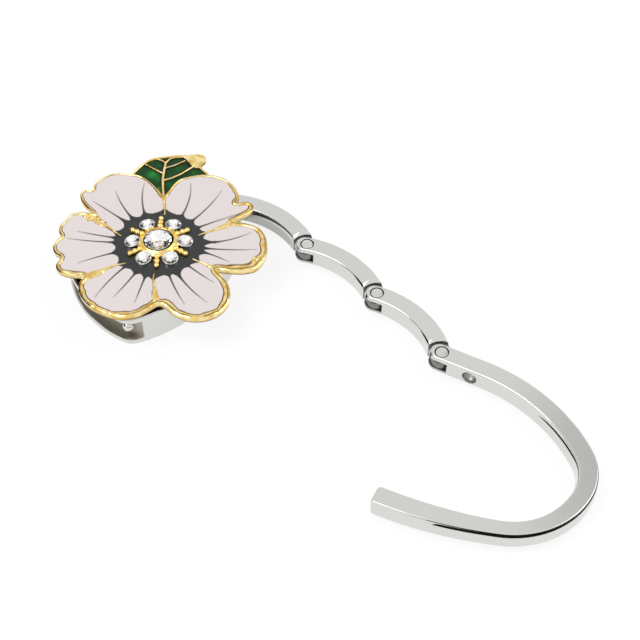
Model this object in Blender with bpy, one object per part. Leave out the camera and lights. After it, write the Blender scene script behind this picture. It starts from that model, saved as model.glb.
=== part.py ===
"""Foldable bag hanger: an enamelled flower on a grooved body, three curved links and a hook.

Lengths are in metres and +Z is up. The part lies unfolded on the body's underside, and the
origin is on that underside, straight under the flower's centre stone. All hinge axes are
vertical. Folded, the links curl clockwise round the body and the hook's arm drops into the
body's left groove, where the dimple in the arm meets the catch stud.
"""

from math import asin, atan2, ceil, cos, exp, hypot, pi, radians, sin, sqrt

import bmesh
import bpy
import numpy as np
from mathutils.geometry import convex_hull_2d

# Chain bars, seen from above and in height
BAR_WIDTH = 0.0042
BAR_HEIGHT = 0.0040
BAR_EDGE_RADIUS = 0.00035
CHAIN_RADIUS = 0.0206
FIRST_PITCH = 0.0221
LINK_PITCH = 0.0201
FIRST_HEADING_DEG = -37.1
SECOND_HEADING_DEG = -43.6
THIRD_HEADING_DEG = -51.3

# Hinges: a middle tongue on one bar, two ears on the next, one pin through both
TONGUE_THICKNESS = 0.0016
TONGUE_GAP = 0.00025
EAR_OVERHANG = 0.00045
SHOULDER_GAP = 0.00055
SLOT_REACH = 0.0008
PIN_RADIUS = 0.0013
PIN_GAP = 0.0001
PIN_CHAMFER = 0.00015

# Hook: one straight stretch, then four arcs, narrowest in the bend
HOOK_LENGTH = 0.0883
HOOK_HEADING_DEG = -27.5
HOOK_STRETCH_SHARES = ((0.104, 0), (0.305, -43.7), (0.104, -48.5), (0.216, -70.3), (0.271, -16))
HOOK_BEND_WIDTH = 0.0033
HOOK_BEND_SHARE = 0.686
HOOK_BEND_SPREAD_SHARE = 0.16

# Body: left wall, foot wall and back are arcs, each wall set by its middle's place and direction
BODY_HEIGHT = 0.0078
BODY_EDGE_RADIUS = 0.00035
LEFT_WALL_PLACE = 0.018724
LEFT_WALL_DIRECTION_DEG = 220.6
LEFT_RADIUS = 0.0261
FOOT_WALL_PLACE = 0.01286
FOOT_WALL_DIRECTION_DEG = -36.93
FOOT_RADIUS = 0.0315
BACK_RADIUS = 0.0200
CORNER_SHARPNESS_SHARE = 45
CORE_SHARPNESS_SHARE = 140
GROOVE_DEPTH = 0.0024
GROOVE_PLAY = 0.0005
LUG_RADIUS = 0.0023
PIN_0_X = 0.0132
PIN_0_Y = 0.0178
SWING_GAP = 0.0012

# Catch: a ball-headed stud on the groove floor and the dimple that it meets in the hook
BALL_RADIUS = 0.0012
BALL_STAND = 0.0005
CATCH_ANGLE_DEG = 242.3
CATCH_SHANK_RADIUS = 0.0007
CATCH_SHANK_LENGTH = 0.0030
DIMPLE_RADIUS = 0.0015
DIMPLE_GAP = 0.0003
DIMPLE_PLACE = 0.0072
CLOSED_GAP = 0.00035

# Flower: a cast plate on a boss and a stud, with raised rims and ridges round six petals
FLOWER_RADIUS = 0.0240
BOSS_HEIGHT = 0.0010
BOSS_RADIUS = 0.0075
SEAT_GAP = 0.0001
STUD_RADIUS = 0.0030
STUD_LENGTH = 0.0028
STUD_GAP = 0.00015
PLATE_THICKNESS = 0.0007
DOME_RISE = 0.0005
RIM_HEIGHT = 0.0009
RIM_WIDTH_MIN = 0.0007
RIM_WIDTH_MAX = 0.0016
RIM_THICK_SIDE_DEG = -62
RIDGE_HALF_ANGLE_DEG = 1.6
RIDGE_TOP_SHARE = 0.45
RIDGE_HEIGHT = 0.0008
RIDGE_START = 0.0088
RIDGE_ANGLES_DEG = (-31, 23, 90, 149, 211.5, 273.5)
OUTLINE_DEGREES_AND_RADIUS_SHARES = (
    (-31, 0.600), (-27, 0.696), (-23, 0.808), (-19, 0.888), (-13, 0.929), (-5, 0.946), (1, 0.938),
    (8, 0.921), (14, 0.871), (19, 0.783), (23, 0.675), (25, 0.779), (27, 0.892), (31, 0.938),
    (35, 0.912), (38, 0.825), (41, 0.896), (47, 0.942), (55, 0.975), (61, 0.971), (68, 0.938),
    (75, 0.875), (80, 0.829), (84, 0.746), (87, 0.650), (90, 0.575), (94, 0.658), (99, 0.758),
    (105, 0.875), (110, 0.929), (115, 0.988), (121, 1.012), (126, 1.012), (131, 0.979), (134, 0.929),
    (137, 0.983), (141, 0.971), (145, 0.875), (149, 0.710), (152, 0.817), (155, 0.883), (160, 0.898),
    (166, 0.917), (170, 0.904), (173, 0.875), (177, 0.900), (181, 0.921), (186, 0.904), (190, 0.854),
    (196, 0.904), (201, 0.888), (206, 0.817), (211.5, 0.716), (215, 0.783), (219, 0.829),
    (225, 0.862), (233, 0.883), (243, 0.883), (253, 0.867), (262, 0.804), (268, 0.733), (273.5, 0.684),
    (278, 0.717), (283, 0.808), (290, 0.900), (298, 0.950), (306, 0.958), (313, 0.925), (319, 0.854),
    (324, 0.758))

# Enamel in the pockets: six pale petals, one dark ring in the middle, green cells on the leaf
ENAMEL_THICKNESS = 0.0006
ENAMEL_GAP = 0.0001
DARK_INNER_RADIUS = 0.0046
DARK_OUTER_RADIUS = 0.0086
ENAMEL_ROWS = 2

# Leaf: part of the casting, a step lower than the petals, with five cells between its veins; its
# tables count from the notch between the two upper petals, in shares of the leaf's length
LEAF_NOTCH_DEG = 90
LEAF_LENGTH = 0.0145
LEAF_DROP = 0.0005
LEAF_THICKNESS = 0.00095
LEAF_POCKET_DEPTH = 0.0006
LEAF_PETAL_GAP = 0.0003
LEAF_SIDE_STEPS = 2
LEAF_OUTLINE_SHARES = (
    (-0.517, 0.600), (-0.455, 0.738), (-0.332, 0.875), (-0.158, 0.951), (0.090, 0.986),
    (0.310, 0.994), (0.468, 0.996), (0.550, 0.951), (0.552, 0.869), (0.476, 0.766), (0.558, 0.641),
    (0.625, 0.565), (0.586, 0.428), (0.310, 0.325), (0.103, 0.048), (0, -0.070), (-0.152, 0.014),
    (-0.310, 0.290), (-0.517, 0.461))
LEAF_CELL_SHARES = (
    ((-0.066, 0.297), (-0.221, 0.426), (-0.400, 0.614), (-0.418, 0.707), (-0.359, 0.781),
     (-0.195, 0.647), (-0.088, 0.571)),
    ((-0.088, 0.633), (-0.195, 0.717), (-0.312, 0.828), (-0.195, 0.893), (-0.088, 0.828)),
    ((-0.043, 0.867), (-0.121, 0.918), (0.078, 0.945), (0.172, 0.941), (0.039, 0.848)),
    ((-0.023, 0.516), (0.117, 0.555), (0.303, 0.703), (0.400, 0.797), (0.322, 0.895), (0.238, 0.926),
     (0.101, 0.844), (-0.023, 0.750)),
    ((-0.016, 0.258), (0.107, 0.395), (0.254, 0.483), (0.420, 0.535), (0.531, 0.614),
     (0.433, 0.711), (0.328, 0.639), (0.129, 0.485), (-0.016, 0.446)))

# Stones and their setting
CENTRE_STONE_RADIUS = 0.00305
SIDE_STONE_RADIUS = 0.00155
SIDE_STONE_PLACE = 0.0054
STONE_GAP = 0.0001
STONE_TABLE_SHARE = 0.62
STONE_CROWN_SHARE = 0.17
STONE_PAVILION_SHARE = 0.34
BEZEL_WALL = 0.00038
SIDE_BEZEL_HEIGHT = 0.00075
CENTRE_BEZEL_HEIGHT = 0.0013
SETTING_DISC_RADIUS = 0.0043
SPIKE_START = 0.0037
BEAD_RADIUS_SHARES = (1, 1, 0.92)
BEAD_RADIUS = 0.0006
SETTING_RISE = 0.00015
SEAT_FLOOR_SHARE = 0.5
SIDE_STONES = 6
SPIKE_OFFSET_DEG = 30

# How finely curves are cut, and how far cutters run past what they cut
ARC_STEP_DEG = 6
ROUND_STEPS = 24
FINE_STEPS = 16
BODY_STEP_DEG = 5
CUT_OVERRUN = 0.0010
SHARP_EDGE_DEG = 35

# Places that follow from the sizes above
CHAIN_MID_Z = BODY_HEIGHT / 2
BAR_LOW = CHAIN_MID_Z - BAR_HEIGHT / 2
BAR_HIGH = CHAIN_MID_Z + BAR_HEIGHT / 2
EAR_RADIUS = BAR_WIDTH / 2
GROOVE_HALF = BAR_HEIGHT / 2 + GROOVE_PLAY
TONGUE_HALF = TONGUE_THICKNESS / 2
SLOT_HALF = TONGUE_HALF + TONGUE_GAP
FLOWER_SEAT = BODY_HEIGHT + SEAT_GAP
PLATE_UNDER = FLOWER_SEAT + BOSS_HEIGHT
PLATE_FLOOR = PLATE_UNDER + PLATE_THICKNESS
ENAMEL_TOP = ENAMEL_GAP + ENAMEL_THICKNESS


def clear_scene():
    for thing in list(bpy.data.objects):
        bpy.data.objects.remove(thing, do_unlink=True)


def material(name, colour, roughness, metallic, transmission=0):
    """A plain Principled material with the finish of one kind of piece."""
    made = bpy.data.materials.new(name)
    made.use_nodes = True
    shader = made.node_tree.nodes["Principled BSDF"]
    shader.inputs["Base Color"].default_value = (*colour, 1)
    shader.inputs["Roughness"].default_value = roughness
    shader.inputs["Metallic"].default_value = metallic
    shader.inputs["Transmission Weight"].default_value = transmission
    made.diffuse_color = (*colour, 1)
    return made


def finish_object(name, form, look=None, place=(0, 0)):
    """Turns a bmesh into a named object with its faces out and its round faces smooth."""
    bmesh.ops.recalc_face_normals(form, faces=form.faces)
    mesh = bpy.data.meshes.new(name)
    form.to_mesh(mesh)
    form.free()
    mesh.shade_smooth()
    mesh.set_sharp_from_angle(angle=radians(SHARP_EDGE_DEG))
    made = bpy.data.objects.new(name, mesh)
    made.location = (place[0], place[1], 0)
    bpy.context.collection.objects.link(made)
    if look:
        mesh.materials.append(look)
    return made


def polar(angle, distance, centre=(0, 0)):
    return (centre[0] + distance * cos(angle), centre[1] + distance * sin(angle))


def circle(centre, radius, steps=ROUND_STEPS):
    return [polar(2 * pi * step / steps, radius, centre) for step in range(steps)]


def prism(name, outline, low, high, look=None, place=(0, 0)):
    """An outline in plan, drawn up from one height to another round its own place."""
    form = bmesh.new()
    corners = [form.verts.new((x - place[0], y - place[1], low)) for x, y in outline]
    face = form.faces.new(corners)
    grown = bmesh.ops.extrude_face_region(form, geom=[face])["geom"]
    lifted = [part for part in grown if isinstance(part, bmesh.types.BMVert)]
    bmesh.ops.translate(form, vec=(0, 0, high - low), verts=lifted)
    return finish_object(name, form, look, place)


def loft(name, rings, look=None, place=(0, 0)):
    """Joins closed rings of equally many points in turn and caps the first and the last."""
    form = bmesh.new()
    rows = [[form.verts.new((x - place[0], y - place[1], z)) for x, y, z in ring] for ring in rings]
    count = len(rows[0])
    for one, two in zip(rows, rows[1:]):
        for step in range(count):
            after = (step + 1) % count
            form.faces.new((one[step], one[after], two[after], two[step]))
    form.faces.new(rows[0])
    form.faces.new(rows[-1])
    return finish_object(name, form, look, place)


def lathe(name, profile, look=None, steps=ROUND_STEPS):
    """Turns a profile of (radius, height) round the local Z axis; zero radii close it."""
    form = bmesh.new()
    rows = []
    for radius, height in profile:
        if radius == 0:
            rows.append([form.verts.new((0, 0, height))])
        else:
            rows.append([form.verts.new((x, y, height)) for x, y in circle((0, 0), radius, steps)])
    for one, two in zip(rows, rows[1:]):
        for step in range(steps):
            after = (step + 1) % steps
            ring = [one[step % len(one)], one[after % len(one)], two[after % len(two)], two[step % len(two)]]
            form.faces.new(list(dict.fromkeys(ring)))
    return finish_object(name, form, look)


def slab(name, top, bottom, look):
    """A sheet between two equal grids of points, closed round its edge."""
    form = bmesh.new()
    upper = [[form.verts.new(point) for point in row] for row in top]
    lower = [[form.verts.new(point) for point in row] for row in bottom]
    for grid in (upper, lower):
        for one, two in zip(grid, grid[1:]):
            for left, right, far_right, far_left in zip(one, one[1:], two[1:], two):
                form.faces.new((left, right, far_right, far_left))
    edges = []
    for grid in (upper, lower):
        near_side = [row[0] for row in grid]
        far_side = [row[-1] for row in grid]
        edges.append(grid[0] + far_side[1:] + grid[-1][-2::-1] + near_side[-2:0:-1])
    for step, (high, low) in enumerate(zip(*edges)):
        after = (step + 1) % len(edges[0])
        form.faces.new((high, edges[0][after], edges[1][after], low))
    return finish_object(name, form, look)


def round_edges(target, width):
    bevel = target.modifiers.new("edge rounding", "BEVEL")
    bevel.width = width
    bevel.segments = 2
    bevel.limit_method = "ANGLE"
    bevel.angle_limit = radians(SHARP_EDGE_DEG)


def shape_with(target, operation, tools):
    """Cuts or joins a target with hidden tool objects, which follow it."""
    for tool in tools:
        tool.hide_render = True
        tool.display_type = "WIRE"
        change = target.modifiers.new(tool.name, "BOOLEAN")
        change.operation = operation
        change.object = tool


def cut(target, *tools):
    shape_with(target, "DIFFERENCE", tools)


def join(target, *tools):
    shape_with(target, "UNION", tools)


def attach(child, parent):
    """Parents one piece to another and keeps it where it stands."""
    child.location = child.location - parent.location
    child.parent = parent


def arc_path(start, heading, pitch):
    """Points and tangents of a clockwise arc whose chord runs from start along heading."""
    half = asin(pitch / (2 * CHAIN_RADIUS))
    centre = polar(heading + half - pi / 2, CHAIN_RADIUS, start)
    steps = ceil(2 * half / radians(ARC_STEP_DEG))
    tangents = [heading + half - 2 * half * step / steps for step in range(steps + 1)]
    return [(polar(tangent + pi / 2, CHAIN_RADIUS, centre), tangent) for tangent in tangents]


def hook_path(start):
    """Points and tangents along the hook, stretch by stretch, each of steady curvature."""
    place = start
    tangent = radians(HOOK_HEADING_DEG)
    path = [(place, tangent)]
    for share, turn_deg in HOOK_STRETCH_SHARES:
        steps = max(2, ceil(abs(turn_deg) / ARC_STEP_DEG))
        turn = radians(turn_deg) / steps
        for _ in range(steps):
            place = polar(tangent + turn / 2, share * HOOK_LENGTH / steps, place)
            tangent = tangent + turn
            path.append((place, tangent))
    return path


def hook_width(share):
    """Bar width that dips smoothly to the bend's width at the bend."""
    dip = exp(-((share - HOOK_BEND_SHARE) / HOOK_BEND_SPREAD_SHARE) ** 2)
    return BAR_WIDTH - (BAR_WIDTH - HOOK_BEND_WIDTH) * dip


def ribbon(path, widths, round_end):
    """Outline of a bar along a path, round about its first point and, if asked, its last."""
    left = [polar(t + pi / 2, w / 2, p) for (p, t), w in zip(path, widths)]
    right = [polar(t - pi / 2, w / 2, p) for (p, t), w in zip(path, widths)]
    cap_steps = ROUND_STEPS // 2
    cap_turns = [pi * step / cap_steps for step in range(1, cap_steps)]
    first, first_tangent = path[0]
    last, last_tangent = path[-1]
    start_cap = [polar(first_tangent - pi / 2 - turn, widths[0] / 2, first) for turn in cap_turns]
    end_cap = [polar(last_tangent + pi / 2 - turn, widths[-1] / 2, last) for turn in cap_turns]
    return left + (end_cap if round_end else []) + right[::-1] + start_cap


def behind_pin(path):
    """The path with a first point added, the middle of the ears' round end, behind the pin."""
    place, tangent = path[0]
    return [(polar(tangent + pi, EAR_OVERHANG, place), tangent)] + path


def disc_cutter(name, place, radius, low, high, steps=ROUND_STEPS):
    return prism(name, circle(place, radius, steps), low, high, place=place)


def cut_pin_hole(target, name, place):
    low = BAR_LOW - CUT_OVERRUN
    high = BAR_HIGH + CUT_OVERRUN
    hole = disc_cutter(name, place, PIN_RADIUS + PIN_GAP, low, high)
    attach(hole, target)
    cut(target, hole)


def cut_fork(target, place):
    """Opens the slot between the two ears at a bar's start, for the tongue before it."""
    low = CHAIN_MID_Z - SLOT_HALF
    high = CHAIN_MID_Z + SLOT_HALF
    slot = disc_cutter(target.name + "_slot", place, EAR_RADIUS + SLOT_REACH, low, high)
    attach(slot, target)
    cut(target, slot)


def cut_shoulders(target, place):
    """Leaves a middle tongue at a bar's end, with hollow shoulders round the next ears."""
    radius = EAR_RADIUS + EAR_OVERHANG + SHOULDER_GAP
    spans = (("under", BAR_LOW - CUT_OVERRUN, CHAIN_MID_Z - TONGUE_HALF),
             ("over", CHAIN_MID_Z + TONGUE_HALF, BAR_HIGH + CUT_OVERRUN))
    for side, low, high in spans:
        hollow = disc_cutter(target.name + "_shoulder_" + side, place, radius, low, high)
        attach(hollow, target)
        cut(target, hollow)


def make_link(name, start, heading, pitch, forked, look):
    """One curved link, its origin on the pin at its start."""
    path = arc_path(start, heading, pitch)
    end = path[-1][0]
    if forked:
        path = behind_pin(path)
    outline = ribbon(path, [BAR_WIDTH] * len(path), round_end=True)
    link = prism(name, outline, BAR_LOW, BAR_HIGH, look, place=start)
    round_edges(link, BAR_EDGE_RADIUS)
    if forked:
        cut_fork(link, start)
    cut_shoulders(link, end)
    cut_pin_hole(link, name + "_start_hole", start)
    cut_pin_hole(link, name + "_end_hole", end)
    return link, end


def make_hook(start, look):
    """The hook: forked like the links, square at its tip, with the catch's dimple inside."""
    path = hook_path(start)
    widths = [BAR_WIDTH, BAR_WIDTH] + [hook_width(step / (len(path) - 1)) for step in range(1, len(path))]
    outline = ribbon(behind_pin(path), widths, round_end=False)
    hook = prism("hook", outline, BAR_LOW, BAR_HIGH, look, place=start)
    round_edges(hook, BAR_EDGE_RADIUS)
    cut_fork(hook, start)
    cut_pin_hole(hook, "hook_start_hole", start)
    heading = radians(HOOK_HEADING_DEG)
    depth = BALL_STAND + BALL_RADIUS - CLOSED_GAP + DIMPLE_GAP
    profile = ((0, -depth), (DIMPLE_RADIUS * 0.6, -depth * 0.92), (DIMPLE_RADIUS, -depth * 0.55),
               (DIMPLE_RADIUS, CUT_OVERRUN), (0, CUT_OVERRUN))
    dimple = lathe("hook_dimple", profile, steps=ROUND_STEPS)
    face = polar(heading - pi / 2, BAR_WIDTH / 2, polar(heading, DIMPLE_PLACE, start))
    dimple.location = (face[0], face[1], CHAIN_MID_Z)
    dimple.rotation_euler = (0, pi / 2, heading - pi / 2)
    attach(dimple, hook)
    cut(hook, dimple)
    return hook


def make_pin(name, place, low, high, look):
    """A plain rivet pin with a small chamfer at both ends."""
    profile = ((0, low), (PIN_RADIUS - PIN_CHAMFER, low), (PIN_RADIUS, low + PIN_CHAMFER),
               (PIN_RADIUS, high - PIN_CHAMFER), (PIN_RADIUS - PIN_CHAMFER, high), (0, high))
    pin = lathe(name, profile, look)
    pin.location = (place[0], place[1], 0)
    return pin


def reach(angle, centre, radius):
    """Distance from the origin to a circle round it, along an angle."""
    along = centre[0] * cos(angle) + centre[1] * sin(angle)
    return along + sqrt(along ** 2 - centre[0] ** 2 - centre[1] ** 2 + radius ** 2)


def wall_outline(walls, sharpness):
    """Inside of several circles at once, with softened corners: a smooth minimum of reaches."""
    outline = []
    for step in range(360 // BODY_STEP_DEG):
        angle = radians(step * BODY_STEP_DEG)
        reaches = [reach(angle, centre, radius) for centre, radius in walls]
        near = min(reaches)
        total = sum((near / value) ** sharpness for value in reaches)
        outline.append(polar(angle, near * total ** (-1 / sharpness)))
    return outline


def left_centre():
    return polar(radians(LEFT_WALL_DIRECTION_DEG), LEFT_WALL_PLACE - LEFT_RADIUS)


def foot_centre():
    return polar(radians(FOOT_WALL_DIRECTION_DEG), FOOT_WALL_PLACE - FOOT_RADIUS)


def closed_pin_3():
    """Where the hook's pin comes to lie when its dimple is on the catch stud."""
    side = radians(CATCH_ANGLE_DEG)
    off_floor = LEFT_RADIUS - GROOVE_DEPTH + CLOSED_GAP + BAR_WIDTH / 2
    beside = polar(side, off_floor, left_centre())
    return polar(side + pi / 2, DIMPLE_PLACE, beside)


def hook_inner_reach():
    """Least distance from the hook's pin to its tip's inner corner."""
    tip, tangent = hook_path((0, 0))[-1]
    corner = polar(tangent - pi / 2, hook_width(1) / 2, tip)
    return sqrt(corner[0] ** 2 + corner[1] ** 2)


def make_body(look):
    """The cast body: two flanges, a core, the plain foot wall and the lug for the first pin."""
    flange = wall_outline(((left_centre(), LEFT_RADIUS), (foot_centre(), FOOT_RADIUS),
                           ((0, 0), BACK_RADIUS)), CORNER_SHARPNESS_SHARE)
    points = flange + circle((PIN_0_X, PIN_0_Y), LUG_RADIUS)
    outline = [points[index] for index in convex_hull_2d(points)]
    body = prism("base_body", outline, 0, BODY_HEIGHT, look)
    round_edges(body, BODY_EDGE_RADIUS)
    core = wall_outline(((left_centre(), LEFT_RADIUS - GROOVE_DEPTH),
                         (foot_centre(), FOOT_RADIUS + CUT_OVERRUN),
                         (closed_pin_3(), hook_inner_reach() - SWING_GAP)), CORE_SHARPNESS_SHARE)
    outside = LEFT_RADIUS + FOOT_RADIUS
    low = CHAIN_MID_Z - GROOVE_HALF
    high = CHAIN_MID_Z + GROOVE_HALF
    rim = circle((0, 0), outside, len(core))
    rings = [[(x, y, low) for x, y in core], [(x, y, low) for x, y in rim],
             [(x, y, high) for x, y in rim], [(x, y, high) for x, y in core]]
    cut(body, ring_tool("body_groove", rings))
    hole = disc_cutter("body_pin_hole", (PIN_0_X, PIN_0_Y), PIN_RADIUS + PIN_GAP, -CUT_OVERRUN,
                       BODY_HEIGHT + CUT_OVERRUN)
    socket = disc_cutter("body_stud_hole", (0, 0), STUD_RADIUS + STUD_GAP,
                         FLOWER_SEAT - STUD_LENGTH - STUD_GAP, BODY_HEIGHT + CUT_OVERRUN)
    side = radians(CATCH_ANGLE_DEG)
    floor = LEFT_RADIUS - GROOVE_DEPTH
    radius = CATCH_SHANK_RADIUS + PIN_GAP
    bore = lathe("body_catch_bore", ((0, -CATCH_SHANK_LENGTH - PIN_GAP), (radius, -CATCH_SHANK_LENGTH - PIN_GAP),
                                     (radius, CUT_OVERRUN), (0, CUT_OVERRUN)), steps=FINE_STEPS)
    mouth = polar(side, floor, left_centre())
    bore.location = (mouth[0], mouth[1], CHAIN_MID_Z)
    bore.rotation_euler = (0, pi / 2, side)
    cut(body, hole, socket, bore)
    for tool in (hole, socket, bore):
        attach(tool, body)
    return body


def ring_tool(name, rings):
    """A closed ring of square section from four loops of equally many points."""
    form = bmesh.new()
    rows = [[form.verts.new(point) for point in ring] for ring in rings]
    count = len(rows[0])
    for one, two in zip(rows, rows[1:] + rows[:1]):
        for step in range(count):
            after = (step + 1) % count
            form.faces.new((one[step], one[after], two[after], two[step]))
    return finish_object(name, form)


def make_catch_stud(look):
    """Ball-headed stud: a shank in the core, a seat on the groove floor and a ball outside."""
    side = radians(CATCH_ANGLE_DEG)
    profile = [(0, -CATCH_SHANK_LENGTH), (CATCH_SHANK_RADIUS, -CATCH_SHANK_LENGTH)]
    neck = asin(min(1, CATCH_SHANK_RADIUS / BALL_RADIUS))
    steps = FINE_STEPS // 2
    for step in range(steps + 1):
        turn = (pi - neck) * (1 - step / steps)
        height = BALL_STAND + BALL_RADIUS * cos(turn)
        profile.append((BALL_RADIUS * sin(turn) if step < steps else 0, max(height, SEAT_GAP)))
    stud = lathe("catch_stud", profile, look, steps=FINE_STEPS)
    mouth = polar(side, LEFT_RADIUS - GROOVE_DEPTH, left_centre())
    stud.location = (mouth[0], mouth[1], CHAIN_MID_Z)
    stud.rotation_euler = (0, pi / 2, side)
    return stud


def flower_outline():
    """The flower's outline as (angle, radius)."""
    return [(radians(deg), share * FLOWER_RADIUS) for deg, share in OUTLINE_DEGREES_AND_RADIUS_SHARES]


def outline_radius(table, angle):
    """The outline's radius at any angle, read straight between its points."""
    angles = [place[0] for place in table]
    radii = [place[1] for place in table]
    first = angles[0]
    turned = first + (angle - first) % (2 * pi)
    return float(np.interp(turned, angles + [first + 2 * pi], radii + [radii[0]]))


def rim_width(angle):
    """Width of the raised rim, thickest on one side of the flower."""
    lean = (1 + cos(angle - radians(RIM_THICK_SIDE_DEG))) / 2
    return RIM_WIDTH_MIN + (RIM_WIDTH_MAX - RIM_WIDTH_MIN) * lean


def inset_radius(table, angle, width):
    """Radius along an angle at which a point lies one width inside the outline."""
    edge = np.array([polar(place[0], place[1]) for place in table])
    step = np.roll(edge, -1, axis=0) - edge
    low = RIDGE_START
    high = outline_radius(table, angle)
    for _ in range(14):
        middle = (low + high) / 2
        gap = np.array(polar(angle, middle)) - edge
        along = np.clip((gap * step).sum(1) / (step * step).sum(1), 0, 1)
        near = np.hypot(*(gap - along[:, None] * step).T).min()
        if near < width:
            high = middle
        else:
            low = middle
    return low


def dome(radius):
    """Gentle rise of the whole flower towards its centre."""
    return DOME_RISE * (1 - (radius / FLOWER_RADIUS) ** 2)


def domed(angle, radius, height):
    x, y = polar(angle, radius)
    return (x, y, height + dome(radius))


def flower_angles(table):
    """Every angle at which the casting has points: its outline's and both sides of each ridge."""
    half = radians(RIDGE_HALF_ANGLE_DEG)
    ridges = [radians(deg) for deg in RIDGE_ANGLES_DEG]
    sides = (-half, -half * RIDGE_TOP_SHARE, 0, half * RIDGE_TOP_SHARE, half)
    angles = [ridge + side for ridge in ridges for side in sides]
    for angle, _ in table:
        away = min(abs((angle - ridge + pi) % (2 * pi) - pi) for ridge in ridges)
        if away > half * 1.15:
            angles.append(angle)
    first = ridges[0]
    return sorted(first + (angle - first) % (2 * pi) for angle in angles)


def on_ridge(angle):
    """One on a ridge's flat top, nothing away from it."""
    half = radians(RIDGE_HALF_ANGLE_DEG) * RIDGE_TOP_SHARE * 1.01
    ridges = [radians(deg) for deg in RIDGE_ANGLES_DEG]
    return min(abs((angle - ridge + pi) % (2 * pi) - pi) for ridge in ridges) <= half


def make_flower_casting(look):
    """Plate with rims and ridges on top, boss and stud beneath, and the leaf behind."""
    table = flower_outline()
    angles = flower_angles(table)
    edge = [outline_radius(table, angle) for angle in angles]
    rims = [inset_radius(table, angle, rim_width(angle)) for angle in angles]
    crest = [rim + (outer - rim) * 0.35 for rim, outer in zip(rims, edge)]
    wall = [rim + (outer - rim) * 0.06 for rim, outer in zip(rims, edge)]
    lift = [RIDGE_HEIGHT if on_ridge(angle) else 0 for angle in angles]

    def ring(radii, heights):
        return [domed(angle, radius, height) for angle, radius, height in zip(angles, radii, heights)]

    def level(height):
        return [height] * len(angles)

    floor = [PLATE_FLOOR + rise for rise in lift]
    under = [outer * 0.985 for outer in edge]
    low = PLATE_UNDER
    rings = [ring([DARK_INNER_RADIUS] * len(angles), level(PLATE_FLOOR)),
             ring([RIDGE_START] * len(angles), level(PLATE_FLOOR)),
             ring([RIDGE_START * 1.04] * len(angles), floor),
             ring(rims, floor),
             ring(wall, level(PLATE_FLOOR + RIM_HEIGHT * 0.8)),
             ring(crest, level(PLATE_FLOOR + RIM_HEIGHT)),
             ring(edge, level(PLATE_FLOOR + RIM_HEIGHT * 0.2)),
             ring(under, level(low)),
             ring([BOSS_RADIUS] * len(angles), level(low)),
             [(*polar(angle, BOSS_RADIUS), FLOWER_SEAT) for angle in angles],
             [(*polar(angle, STUD_RADIUS), FLOWER_SEAT) for angle in angles],
             [(*polar(angle, STUD_RADIUS), FLOWER_SEAT - STUD_LENGTH) for angle in angles]]
    casting = loft("flower_casting", rings, look)
    join(casting, make_leaf_tool(table))
    return casting, table, angles


def leaf_levels():
    low = PLATE_UNDER - LEAF_DROP
    return low, low + LEAF_THICKNESS


def leaf_points(shares, table):
    """Places from a table of the leaf, which starts at the notch in the petals' outline."""
    notch = polar(radians(LEAF_NOTCH_DEG), outline_radius(table, radians(LEAF_NOTCH_DEG)))
    return [(notch[0] + x * LEAF_LENGTH, notch[1] + y * LEAF_LENGTH) for x, y in shares]


def inward(points, gap):
    """A small outline drawn in by one gap, each corner along the middle of its angle."""
    corners = np.array(points)
    before = corners - np.roll(corners, 1, axis=0)
    after = np.roll(corners, -1, axis=0) - corners
    before = before / np.hypot(*before.T)[:, None]
    after = after / np.hypot(*after.T)[:, None]
    x, y = corners.T
    turned = np.sign((x * np.roll(y, -1) - np.roll(x, -1) * y).sum())
    normals = (before + after)[:, ::-1] * np.array((-turned, turned))
    normals = normals / np.hypot(*normals.T)[:, None]
    across = (normals * after[:, ::-1] * np.array((-turned, turned))).sum(1)
    return [tuple(corner) for corner in corners + normals * gap / across[:, None]]


def leaf_cell(index, table):
    """A cell's outline, its sides cut fine and kept clear of the petals over the leaf."""
    corners = leaf_points(LEAF_CELL_SHARES[index], table)
    cell = []
    for one, two in zip(corners, corners[1:] + corners[:1]):
        for step in range(LEAF_SIDE_STEPS):
            share = step / LEAF_SIDE_STEPS
            x = one[0] + (two[0] - one[0]) * share
            y = one[1] + (two[1] - one[1]) * share
            angle = atan2(y, x)
            clear = outline_radius(table, angle) + LEAF_PETAL_GAP
            cell.append(polar(angle, max(clear, hypot(x, y))))
    return cell


def make_leaf_tool(table):
    """The leaf's plate with its pockets, which joins the petals' plate."""
    low, high = leaf_levels()
    leaf = prism("casting_leaf", leaf_points(LEAF_OUTLINE_SHARES, table), low, high)
    for index in range(len(LEAF_CELL_SHARES)):
        pocket = prism("casting_leaf_pocket_%d" % index, leaf_cell(index, table),
                       high - LEAF_POCKET_DEPTH, high + CUT_OVERRUN)
        cut(leaf, pocket)
    return leaf


def make_leaf_enamel(index, table, look):
    """Green enamel in one pocket of the leaf."""
    _, high = leaf_levels()
    outline = inward(leaf_cell(index, table), ENAMEL_GAP)
    low = high - LEAF_POCKET_DEPTH + ENAMEL_GAP
    return prism("leaf_enamel_%d" % (index + 1), outline, low, high - ENAMEL_GAP, look)


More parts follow.
